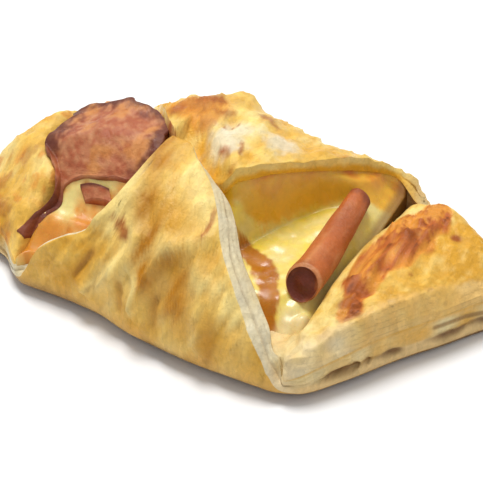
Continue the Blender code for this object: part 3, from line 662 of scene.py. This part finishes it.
def rasher_top(rows=110, columns=90):
    """Grid of the rasher's upper face, from its top edge down to its tail, and how far in from its rim."""
    s = np.linspace(0, 1, rows)[:, None]
    t = np.linspace(0, 1, columns)[None]
    row = RASHER_TOP + (RASHER_TAIL - RASHER_TOP) * s
    x = smooth_table(row, RASHER_LEFT) * (1 - t) + smooth_table(row, RASHER_RIGHT) * t
    y = row + (smooth_table(t, RASHER_EDGE) - RASHER_TOP) * ramp(row, -8, RASHER_TOP)
    margin = np.minimum(np.minimum(t, 1 - t) * 2, s * 4)
    flat = on_plane(x, y)
    ragged = ramp(margin, 0.4, 0) * ramp(y, -14, -8)
    x = x + 0.9 * ragged * noise(flat + 70, 3)
    y = y + 0.7 * ragged * noise(flat + 75, 2.5)
    curl = 1.2 * ramp(margin, 0.5, 0) * ramp(y, -16, -4)
    under = np.maximum(filling_height(x, y), mound(x, y) + 0.6)
    grid = np.stack([x, y, under], -1)
    sunk = 0.7 * ramp(y, -13, -19)
    uneven = 0.5 * noise(grid, 5) + 0.3 * noise(grid + 4, 2.2) + 0.14 * noise(grid, 1.1)
    grid[..., 2] += 1.0 - sunk + curl + uneven
    return grid, margin * np.ones_like(x)


def bit_top():
    """Grid of the upper face of the small bit of bacon, arched along its length."""
    s, t = np.meshgrid(np.linspace(0, 1, 24), np.linspace(0, 1, 40), indexing="ij")
    a, b, c, d = np.array(BIT_CORNERS, float)
    across = t[..., None]
    down = s[..., None]
    plan = (a * (1 - across) + b * across) * (1 - down) + (d * (1 - across) + c * across) * down
    z = filling_height(plan[..., 0], plan[..., 1]) + 1.3 + 1.2 * np.sin(np.pi * t)
    grid = np.concatenate([plan, z[..., None]], -1)
    grid[..., 2] += 0.18 * noise(grid, 1.6)
    return grid, s


def roll_rings(rings=90, sides=72):
    """Closed rings of the rolled rasher, narrower at the far end, with a hollow in its near end."""
    near = np.array(ROLL_NEAR)
    far = np.array(ROLL_FAR)
    ahead = unit(far - near)
    side = unit(np.cross(ahead, (0, 0, 1)))
    above = np.cross(side, ahead)
    angle = np.linspace(0, 2 * np.pi, sides, endpoint=False)
    circle = np.cos(angle)[:, None] * side + np.sin(angle)[:, None] * above
    slant = (np.sin(angle) + 1)[:, None] * ahead * ROLL_SLANT
    made = []
    for share, back in ROLL_HOLLOW:
        made.append(near + circle * ROLL_NEAR_RADIUS * share + ahead * back + slant * share)
    for s in np.linspace(0, 1, rings):
        middle = near * (1 - s) + far * s - above * ROLL_SAG * np.sin(np.pi * s)
        radius = ROLL_NEAR_RADIUS * (1 - s) + ROLL_FAR_RADIUS * s
        lobes = 1 + 0.05 * np.sin(2 * angle + 4 * s) + 0.03 * np.sin(3 * angle + 9 * s)
        rounded = 1 - 0.14 * ramp(s, 0.02, 0) - 0.5 * ramp(s, 0.96, 1) ** 2
        line = middle + circle * (radius * lobes * rounded)[:, None] + slant * ramp(s, 0.3, 0)
        made.append(line + circle * (0.12 * noise(line * (1, 0.4, 1), 2.0))[:, None])
    return np.array(made)


def colour(rgb):
    """Linear colour from sRGB."""
    value = np.array(rgb, float) / 255
    return np.where(value < 0.04045, value / 12.92, ((value + 0.055) / 1.055) ** 2.4)


def even(rgb, points):
    """The same colour at every point."""
    return np.broadcast_to(colour(rgb), points.shape)


def mix(base, other, weight):
    """Base colours moved towards another colour by a weight from 0 to 1."""
    weight = np.clip(weight, 0, 1)[..., None]
    return base * (1 - weight) + colour(other) * weight


def spot(u, v, points, radius):
    """1 at the middle of a spot, with a ragged edge; u and v are the distances from its middle."""
    ragged = noise(points + 6, max(radius * 1.2, 2.6)) + 0.6 * noise(points + 2, 1.4)
    away = np.hypot(u, v) + 0.5 * radius * ragged
    return ramp(away, radius * 1.3, radius * 0.4)


def add_spots(tint, u, v, points, places, shown=1):
    """Brown spots at the given places."""
    for place_u, place_v, radius, strength in places:
        tint = mix(tint, BROWN, strength * spot(u - place_u, v - place_v, points, radius) * shown)
    return tint


def skin_colour(points, near_side):
    """Colour of the outer skin."""
    x, y, z = np.moveaxis(points, -1, 0)
    broad = layered_noise(points, 11, 3)
    fine = layered_noise(points, 3.0, 3)
    lines = streaks(points) + 0.5 * streaks(points + 30, 1.1) + 0.8 * flake_edges(points)
    far_side = 1 - near_side
    tint = mix(even(CREAM, points), PALE, 0.25 + 0.6 * broad + 0.4 * fine + 0.3 * lines)
    tint = mix(tint, GOLD, 0.25 - 0.7 * broad + 0.4 * fine - 0.3 * lines)
    low = ramp(z, 30, 10) * near_side + ramp(z, 26, 6) * far_side
    tint = mix(tint, GOLD, low * (0.5 + 0.4 * noise(points, 6)))
    tint = mix(tint, PALE, 0.16 * terraces(points))
    tint = mix(tint, GOLD, -0.16 * terraces(points))
    golden = (GOLDEN_BANDS_AND_SHADE, DEEP_GOLD, 0.85 + 0.5 * lines)
    pale = (PALE_BANDS_AND_HIGHLIGHTS, PALE, 0.9 + 0.4 * lines)
    # Golden bands are partly painted shade in the folds, pale bands partly painted highlight on the ridges
    for bands, tone, streaked in (golden, pale):
        for strength, width, path in bands:
            tint = mix(tint, tone, strength * along_path(x, z, path, width) * near_side * streaked)
    for cx, cy in GREY_PLACES:
        tint = mix(tint, PALE_GREY, 0.75 * spot(x - cx, y - cy, points, 6) * far_side)
    cx, cy, radius = AMBER_PLACE
    tint = mix(tint, AMBER, 0.8 * spot(x - cx, y - cy, points, radius) * far_side)
    tint = add_spots(tint, x, z, points, NEAR_SPOTS, near_side)
    tint = add_spots(tint, x, y, points, FAR_SPOTS, far_side)
    for path in FAR_CRACKS:
        crack = 0.75 * ramp(distance_to_path(x, y, path), 0.7, 0.2) * far_side
        tint = mix(tint, BROWN, crack * ramp(z, 30, 35))
    tint = mix(tint, TAN, 0.6 * ramp(z, 9, 4) * near_side)
    # Painted shade in the grooves of the near flap's wrinkles
    for rise, _, path in WRINKLES:
        if rise < 0:
            groove = ramp(distance_to_path(x, z, path), 1.1, 0.2) * near_side
            tint = mix(tint, WRINKLE_SHADE, 0.3 * groove)
    # Painted contact shade: darker brown low down on the skin, near the floor
    under = ramp(z + 1.5 * noise(points, 6), 5.5, 1.5)
    return mix(tint, PAINTED_CONTACT_SHADE, under * (0.75 + 0.25 * noise(points, 7)))


def mound_colour(points):
    """Colour of the mounds' tops."""
    x, y, z = np.moveaxis(points, -1, 0)
    flat = points * (1, 1, 0.5)
    broad = layered_noise(flat, 9, 3)
    fine = layered_noise(flat, 2.6, 3)
    tint = mix(even(CREAM, points), PALE, 0.3 + 0.5 * broad + 0.4 * fine)
    past = x - smooth_table(y, RIGHT_RIDGE)
    slope = ramp(past, 3, 9) * (x > 0)
    tint = mix(tint, GOLD, slope * (0.75 + 0.2 * broad) + 0.12 - 0.4 * fine)
    tint = mix(tint, GOLD, ramp(x, 0, -1) * (0.3 - 0.5 * broad + 0.3 * fine))
    blotches = ramp(noise(flat + 60, 4) + 0.5 * noise(flat, 1.6), 0.35, 0.7)
    tint = mix(tint, AMBER, 0.7 * ramp(x, 0, -1) * blotches)
    strip = blister_strip(x, y)
    spots = on_plane(x, y)
    bubbles = ramp(cells(spots, 3.0), 0.75, 0.35)
    small = ramp(cells(spots + 40, 1.6), 0.7, 0.3)
    tint = mix(tint, AMBER, 0.95 * ramp(strip, 0.1, 0.6))
    browned = strip * (0.12 + 0.4 * bubbles + 0.45 * small + 0.9 * noise(flat + 8, 3.6))
    tint = mix(tint, RUST, 0.9 * ramp(browned, 0.25, 0.7))
    tint = mix(tint, DARK_BROWN, 0.7 * ramp(browned, 0.85, 1.3))
    tint = add_spots(tint, x, y, points, MOUND_SPOTS)
    # Painted shade in the valley between the roll and the right mound
    valley_shade = ramp(past, -6.5, -9) * (x > 0) * ramp(y, -16, -8)
    tint = mix(tint, PAINTED_VALLEY_SHADE, 0.75 * valley_shade)
    flank = ramp(distance_to_path(x, y, NEAR_FLANK) + 1.2 * fine, 5.0, 2.5)
    sheets = np.abs(np.sin(2.1 * z + 1.6 * noise(points * (0.4, 0.4, 1), 4)))
    tint = mix(tint, FLANK, 0.7 * flank * (0.8 + 0.4 * broad))
    # Painted shade in the lines between the sheets of the flank
    return mix(tint, PAINTED_LAYER_SHADE, 0.35 * flank * ramp(sheets, 0.4, 0) * ramp(noise(points + 33, 6), -0.4, 0.2))


def edge_colour(points, t, open_end, layers, share, far):
    """Colour of a cut edge, t across it from the outer skin to the inner one."""
    along = points[..., 0]
    plain = far * (1 - open_end)
    leaf = 1 - (1 - leaf_pattern(points, t, layers)) * (1 - plain) * (0.55 + 0.45 * noise(points, 4))
    # Painted shade in the thin gaps between the puffed leaves
    tint = mix(even(LAYER, points), PAINTED_LAYER_SHADE, 0.55 * (1 - leaf))
    tint = mix(tint, PALE, 0.3 * noise(points, 5) + 0.25)
    tint = mix(tint, GOLD, open_end * (0.35 + 0.6 * noise(points + 3, 6)))
    lower = ramp(t, share + 0.02, share - 0.04)
    near_fold = (1 - far) * ramp(along, 36, 44)
    tint = mix(tint, SHEET, lower * np.maximum(open_end, near_fold))
    tint = mix(tint, PALE_GREY, 0.75 * (1 - far) * (1 - open_end) * (0.8 + 0.5 * noise(points, 4)))
    # Painted shade in the gap between the cut edge's two halves, stronger where the hollows are deep
    gap = gap_depth(points, t, share, along)
    hollow = 0.25 + 0.65 * ramp(smooth_table(along, HOLLOWS), 0.6, 2.6) * (1 - far)
    tint = mix(tint, PAINTED_GAP_SHADE, gap * (1 - plain) * hollow)
    height = points[..., 2]
    # Painted shade along the slit
    slit = distance_to_path(along, height, SLIT_SHADE_PATH)
    tint = mix(tint, PAINTED_LAYER_SHADE, 0.8 * ramp(slit, 1.1, 0.4) * (1 - far))
    # Painted shade under the flap's lip
    lip_shade = np.hypot(along - LIP_SHADE[0], (height - LIP_SHADE[1]) * 1.6)
    tint = mix(tint, PAINTED_GAP_SHADE, 0.6 * ramp(lip_shade, 2.6, 0.8) * (1 - far))
    tint = mix(tint, GOLD, 0.7 * ramp(t, 0.84, 1.0) * np.maximum(open_end, far))
    rim = mix(even(CREAM, points), PALE, 0.5 + 0.8 * noise(points, 5))
    tint = tint * (1 - plain[..., None]) + rim * plain[..., None]
    burnt = plain * ramp(np.abs(along + 9), 9, 5)
    tint = mix(tint, RUST, (0.75 + 0.4 * noise(points, 2.5)) * burnt)
    return mix(tint, WALL, plain * ramp(t + 0.12 * noise(points, 3), 0.3, 0.7) * ramp(along, 2, 8))


def pastry_colour(rings, end_weight, tau):
    """Colour at every point of the pastry's rings."""
    p, e = SKIN_POINTS, EDGE_POINTS
    along = rings[:, 0, 0]
    open_end, share, layers = edge_measures(along[:, None] * np.ones((1, e)))
    t = (np.arange(1, e + 1) / (e + 1))[None] * np.ones((len(along), 1))
    outer = skin_colour(rings[:, :p], (tau < 0).astype(float))
    far_edge = edge_colour(rings[:, p:p + e], t, open_end, layers, share, 1.0)
    inner_points = rings[:, p + e:2 * p + e]
    top = mound_colour(inner_points)
    inside = mix(even(LAYER, inner_points), OOZE, 0.4 + 0.4 * noise(inner_points, 5))
    dough = near_corner(inner_points[..., 0], inner_points[..., 1]) / CORNER_RISE
    weight = np.maximum(ramp(end_weight[:, ::-1], 0.25, 0.6), ramp(dough, 0.1, 0.4))[..., None]
    inner = inside * (1 - weight) + top * weight
    near_edge = edge_colour(rings[:, 2 * p + e:], t[:, ::-1], open_end, layers, share, 0.0)
    inner = mix(inner, PALE_GREY, 0.4 * dough * (0.8 + 0.8 * noise(inner_points, 5)))
    return np.concatenate([outer, far_edge, inner, near_edge], 1)


def filling_colour(points):
    """Colour of the cheese."""
    x, y, z = np.moveaxis(points, -1, 0)
    broad = layered_noise(points, 7, 3)
    fine = layered_noise(points, 2.2, 2)
    tint = mix(even(POOL, points), POOL_YELLOW, 0.35 + 0.7 * broad)
    foot = smooth_table(x, WALL_FOOT)
    wall = ramp(y + 0.8 * fine, foot - 1.2, foot + 0.8)
    tint = mix(tint, WALL, wall)
    tint = mix(tint, WALL_OLIVE, wall * ramp(x, 22, 10) * ramp(y, foot + 5, foot))
    tint = mix(tint, WALL_DARK, wall * (0.4 + 0.7 * broad + 0.4 * fine) * ramp(y, foot + 2.5, foot + 6.5))
    fringe = distance_to_path(x, y, FRINGE_PATH) + 0.8 * fine + ramp(z, 18, 27) * 5
    right = mix(tint, FRINGE, 0.95 * ramp(fringe, 3.6, 2.4))
    right = mix(right, BROWN, 0.3 * ramp(fringe, 4, 1) * ramp(noise(points, 3), 0, 0.5))
    right = mix(right, POOL_PALE, 0.7 * ramp(y, -21, -26) * ramp(x, 36, 39))
    # Painted shade at the filling's right end, in the valley before the mound
    right = mix(right, PAINTED_VALLEY_SHADE, 0.8 * ramp(x, 43.5, 45.5))
    left = mix(even(OOZE, points), POOL, 0.2 + 0.9 * broad)
    left = mix(left, FRINGE, 0.6 * ramp(noise(points + 8, 3.2) + 0.5 * fine, 0.1, 0.6))
    cx, cy, radius = CREAM_PLACE
    left = mix(left, POOL, spot(x - cx, y - cy, points, radius))
    for cx, cy, radius in OOZE_PLACES:
        left = mix(left, OOZE, 0.9 * spot(x - cx, y - cy, points, radius))
    return np.where((x > 0)[..., None], right, left)


def rasher_colour(points, margin):
    """Colour of the rasher: pink meat with paler fat, burnt at its upper and left rims and down its tail."""
    y = points[..., 1]
    broad = layered_noise(points, 6, 3)
    fine = layered_noise(points, 2.0, 3)
    specks = noise(points, 1.2)
    tint = mix(even(MEAT, points), MEAT_PALE, 0.45 + 0.5 * broad + 0.5 * fine + 0.5 * specks)
    tint = mix(tint, OOZE, 0.4 * ramp(broad, 0.15, 0.7))
    rim = ramp(margin + 0.12 * fine + 0.1 * broad, 0.4, 0.08) * ramp(y, -12, -6)
    tint = mix(tint, MEAT_DARK, 0.85 * rim)
    tail = ramp(y, -12, -16)
    tint = mix(tint, MEAT_BURNT, 0.9 * tail)
    return mix(tint, MEAT_DARK, 0.6 * tail * ramp(noise(points, 3), 0, 0.4))


def bit_colour(points, s):
    """Colour of the small bit of bacon, dark at the edge where s is 0."""
    fine = layered_noise(points, 1.8, 2)
    tint = mix(even(MEAT, points), MEAT_PALE, 0.3 + 0.6 * fine)
    return mix(tint, MEAT_DARK, 0.9 * ramp(s, 0.35, 0.05))


def roll_colour(points, sections):
    """Colour of the rolled rasher: painted shade in its hollow, dark at its far end, pale on the hollow's
    rim.
    """
    y = points[..., 1]
    grain = layered_noise(points * (1, 0.3, 1), 2.2, 3)
    tint = mix(even(ROLL, points), ROLL_PALE, 0.15 + 0.5 * grain)
    tint = mix(tint, ROLL_DARK, 0.35 * noise(points, 5) + 0.8 * ramp(y + 1.5 * grain, 12, 16))
    tint = mix(tint, ROLL_DARK, 0.6 * ramp(y, -13, -19) * ramp(noise(points + 4, 4), -0.2, 0.4))
    hollow = ramp(sections, 5.5, 4.0)
    rim = ramp(np.abs(sections - 6.0), 1.6, 0.6)
    # Painted shade inside the hollow of the near end
    tint = mix(tint, ROLL_DARK, (0.95 - 0.45 * ramp(noise(points, 3), 0, 0.5)) * hollow)
    return mix(tint, ROLL_PALE, 0.7 * rim)


def add_object(name, data):
    """New object in the scene."""
    made = bpy.data.objects.new(name, data)
    bpy.context.scene.collection.objects.link(made)
    return made


def add_piece(name, points, faces, tint, finish, replaced):
    """Closed mesh with a colour at every point, that rides on the body and stands for a solid."""
    mesh = bpy.data.meshes.new(name)
    points = (np.asarray(points, float).reshape(-1, 3) - (CENTRE_X, CENTRE_Y, 0)) * MM
    low, high = np.array(size_at_load)
    points = np.clip(points, low + BOX_MARGIN * MM * (low < 0), high - BOX_MARGIN * MM)
    mesh.from_pydata(points.tolist(), [], faces)
    paint = mesh.color_attributes.new("tint", "FLOAT_COLOR", "POINT")
    tint = np.asarray(tint, float).reshape(-1, 3)
    values = np.concatenate([np.clip(tint, 0, 1), np.ones((len(tint), 1))], 1)
    paint.data.foreach_set("color", values.astype(np.float32).ravel())
    work = bmesh.new()
    work.from_mesh(mesh)
    bmesh.ops.recalc_face_normals(work, faces=work.faces)
    work.to_mesh(mesh)
    work.free()
    mesh.shade_smooth()
    mesh.materials.append(finish)
    piece = add_object(name, mesh)
    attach(piece, "root")
    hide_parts(replaced)


def noise_texture(tree, place, size, detail, roughness=0.5, distortion=0.0):
    """Outputs of a noise texture with lumps of the given size."""
    texture = tree.nodes.new("ShaderNodeTexNoise")
    texture.inputs["Scale"].default_value = 1 / (size * MM)
    texture.inputs["Detail"].default_value = detail
    texture.inputs["Roughness"].default_value = roughness
    texture.inputs["Distortion"].default_value = distortion
    tree.links.new(place, texture.inputs["Vector"])
    return texture.outputs


def mapped(tree, value, low, high, to_low, to_high):
    """Value moved from one range to another."""
    node = tree.nodes.new("ShaderNodeMapRange")
    for socket, limit in (("From Min", low), ("From Max", high), ("To Min", to_low), ("To Max", to_high)):
        node.inputs[socket].default_value = limit
    tree.links.new(value, node.inputs["Value"])
    return node.outputs["Result"]


def toned(tree, tint, factor):
    """Colour made lighter or darker by a factor."""
    node = tree.nodes.new("ShaderNodeVectorMath")
    node.operation = "SCALE"
    tree.links.new(tint, node.inputs[0])
    tree.links.new(factor, node.inputs["Scale"])
    return node.outputs["Vector"]


def add_scales(tree, place, tint, height):
    """Overlapping flakes of slightly different tone, with uneven outlines; the new colour and height."""
    bend = noise_texture(tree, place, 2.2, 3)
    shift = tree.nodes.new("ShaderNodeVectorMath")
    shift.operation = "MULTIPLY_ADD"
    shift.inputs[1].default_value = (SCALE_BEND * MM,) * 3
    tree.links.new(bend["Color"], shift.inputs[0])
    tree.links.new(place, shift.inputs[2])
    scales = tree.nodes.new("ShaderNodeTexVoronoi")
    scales.inputs["Scale"].default_value = 1 / (SCALE_SIZE * MM)
    tree.links.new(shift.outputs["Vector"], scales.inputs["Vector"])
    raised = tree.nodes.new("ShaderNodeMath")
    raised.operation = "MULTIPLY_ADD"
    raised.inputs[1].default_value = 0.6
    tree.links.new(scales.outputs["Color"], raised.inputs[0])
    tree.links.new(height, raised.inputs[2])
    tone = mapped(tree, scales.outputs["Color"], 0, 1, 0.9, 1.1)
    return toned(tree, tint, tone), raised.outputs["Value"]


def food_material(name, roughness, gloss, grain, bump, soft=0.0, flakes=0.0):
    """Painted colour with fine mottling, uneven gloss and a little bump.

    Soft lets light into it, and flakes adds fine streaks along the folds and overlapping flakes."""
    finish = bpy.data.materials.new(name)
    finish.use_nodes = True
    tree = finish.node_tree
    shader = tree.nodes["Principled BSDF"]
    place = tree.nodes.new("ShaderNodeTexCoord").outputs["Object"]
    paint = tree.nodes.new("ShaderNodeAttribute")
    paint.attribute_name = "tint"
    height = noise_texture(tree, place, grain, 6, 0.65)["Fac"]
    tint = toned(tree, paint.outputs["Color"], mapped(tree, height, 0.3, 0.7, 0.82, 0.98))
    if flakes:
        turn = tree.nodes.new("ShaderNodeMapping")
        turn.inputs["Rotation"].default_value = (0, FLAKE_LEAN, 0)
        turn.inputs["Scale"].default_value = (1, 0.5, 0.35)
        tree.links.new(place, turn.inputs["Vector"])
        turned = turn.outputs["Vector"]
        streak = noise_texture(tree, turned, FLAKE_SIZE, 4, 0.6, 0.8)["Fac"]
        tint = toned(tree, tint, mapped(tree, streak, 0.38, 0.6, 1 - flakes, 1 + 0.35 * flakes))
        both = tree.nodes.new("ShaderNodeMath")
        both.operation = "ADD"
        tree.links.new(height, both.inputs[0])
        tree.links.new(streak, both.inputs[1])
        tint, height = add_scales(tree, turned, tint, both.outputs["Value"])
    tree.links.new(tint, shader.inputs["Base Color"])
    patches = noise_texture(tree, place, 6, 2)["Fac"]
    sheen = mapped(tree, patches, 0.35, 0.65, roughness + 0.12, roughness - 0.1)
    tree.links.new(sheen, shader.inputs["Roughness"])
    shader.inputs["Specular IOR Level"].default_value = gloss
    rough = tree.nodes.new("ShaderNodeBump")
    rough.inputs["Strength"].default_value = bump
    rough.inputs["Distance"].default_value = 0.4 * MM
    tree.links.new(height, rough.inputs["Height"])
    tree.links.new(rough.outputs["Normal"], shader.inputs["Normal"])
    if soft:
        shader.inputs["Subsurface Weight"].default_value = soft
        shader.inputs["Subsurface Radius"].default_value = (1, 0.6, 0.3)
        shader.inputs["Subsurface Scale"].default_value = 2.5 * MM
    return finish


def build_turnover():
    """The five pieces of the turnover, each in the place of its solid."""
    crust = food_material("baked_pastry", 0.42, 0.28, 1.3, 0.8, flakes=0.06)
    cheese = food_material("melted_cheese", 0.28, 0.6, 2.4, 0.25, soft=0.25)
    meat = food_material("baked_bacon", 0.45, 0.4, 1.2, 0.9)

    outer, inner, end_weight, tau = pastry_skins()
    rings = pastry_rings(outer, inner)
    tint = pastry_colour(rings, end_weight, tau)
    add_piece("pastry_look", rings, pastry_faces(), tint, crust, "pastry")

    points, faces = capped_rings(filling_rings(outer, inner, end_weight))
    add_piece("cheese_look", points, faces, filling_colour(points), cheese, "cheese_filling")

    top, margin = rasher_top()
    points, faces = slab(top, RASHER_THICKNESS)
    tint = rasher_colour(points, np.tile(margin.ravel(), 2))
    add_piece("rasher_look", points, faces, tint, meat, "bacon_rasher")

    top, share = bit_top()
    points, faces = slab(top, BIT_THICKNESS)
    tint = bit_colour(points, np.tile(share.ravel(), 2))
    add_piece("bit_look", points, faces, tint, meat, "bacon_bit")

    points, faces = capped_rings(roll_rings())
    sections = np.arange(len(points))[:, None] * np.ones((1, points.shape[1]))
    add_piece("roll_look", points, faces, roll_colour(points, sections), meat, "bacon_roll")


def add_floor():
    """Wide pale matt floor."""
    mesh = bpy.data.meshes.new("floor")
    corners = [(-1, -1), (1, -1), (1, 1), (-1, 1)]
    mesh.from_pydata([(FLOOR_HALF * x, FLOOR_HALF * y, 0) for x, y in corners], [], [(0, 1, 2, 3)])
    finish = bpy.data.materials.new("pale_floor")
    finish.use_nodes = True
    shader = finish.node_tree.nodes["Principled BSDF"]
    shader.inputs["Base Color"].default_value = (0.9, 0.9, 0.9, 1)
    shader.inputs["Roughness"].default_value = 0.8
    shader.inputs["Specular IOR Level"].default_value = 0.1
    mesh.materials.append(finish)
    floor = add_object("floor", mesh)


def add_facing(name, data, place, ahead):
    """Object at a place in metres that faces along a direction."""
    holder = add_object(name, data)
    holder.location = place
    holder.rotation_mode = "QUATERNION"
    holder.rotation_quaternion = Vector(ahead).to_track_quat("-Z", "Y")
    return holder


def add_light():
    """Soft round light that faces the middle."""
    lamp = bpy.data.lights.new("key", "AREA")
    lamp.shape = "DISK"
    lamp.size = LIGHT_SIZE
    lamp.energy = LIGHT_POWER
    add_facing("key", lamp, LIGHT_PLACE, -Vector(LIGHT_PLACE))


def add_world():
    """White surroundings."""
    world = bpy.data.worlds.new("studio")
    world.use_nodes = True
    sky = world.node_tree.nodes["Background"]
    sky.inputs["Color"].default_value = (1, 1, 1, 1)
    sky.inputs["Strength"].default_value = SKY_STRENGTH
    bpy.context.scene.world = world


def add_camera():
    """Camera where the photo's was."""
    level = np.array((np.sin(AZIMUTH), -np.cos(AZIMUTH), 0))
    back = level * np.cos(ELEVATION) + np.array((0, 0, np.sin(ELEVATION)))
    right = np.array((np.cos(AZIMUTH), np.sin(AZIMUTH), 0))
    up = np.cross(back, right)
    eye = np.array((-CENTRE_X, -CENTRE_Y, 0)) + DISTANCE * back + AIM_RIGHT * right + AIM_UP * up
    data = bpy.data.cameras.new("camera")
    data.sensor_width = 36
    data.lens = 36 * FOCAL
    data.clip_start = 0.01
    data.clip_end = 20
    bpy.context.scene.camera = add_facing("camera", data, Vector(eye * MM), -back)


build_turnover()
add_floor()
add_light()
add_world()
add_camera()
bpy.context.scene.view_settings.view_transform = "Standard"

bpy.context.view_layer.update()
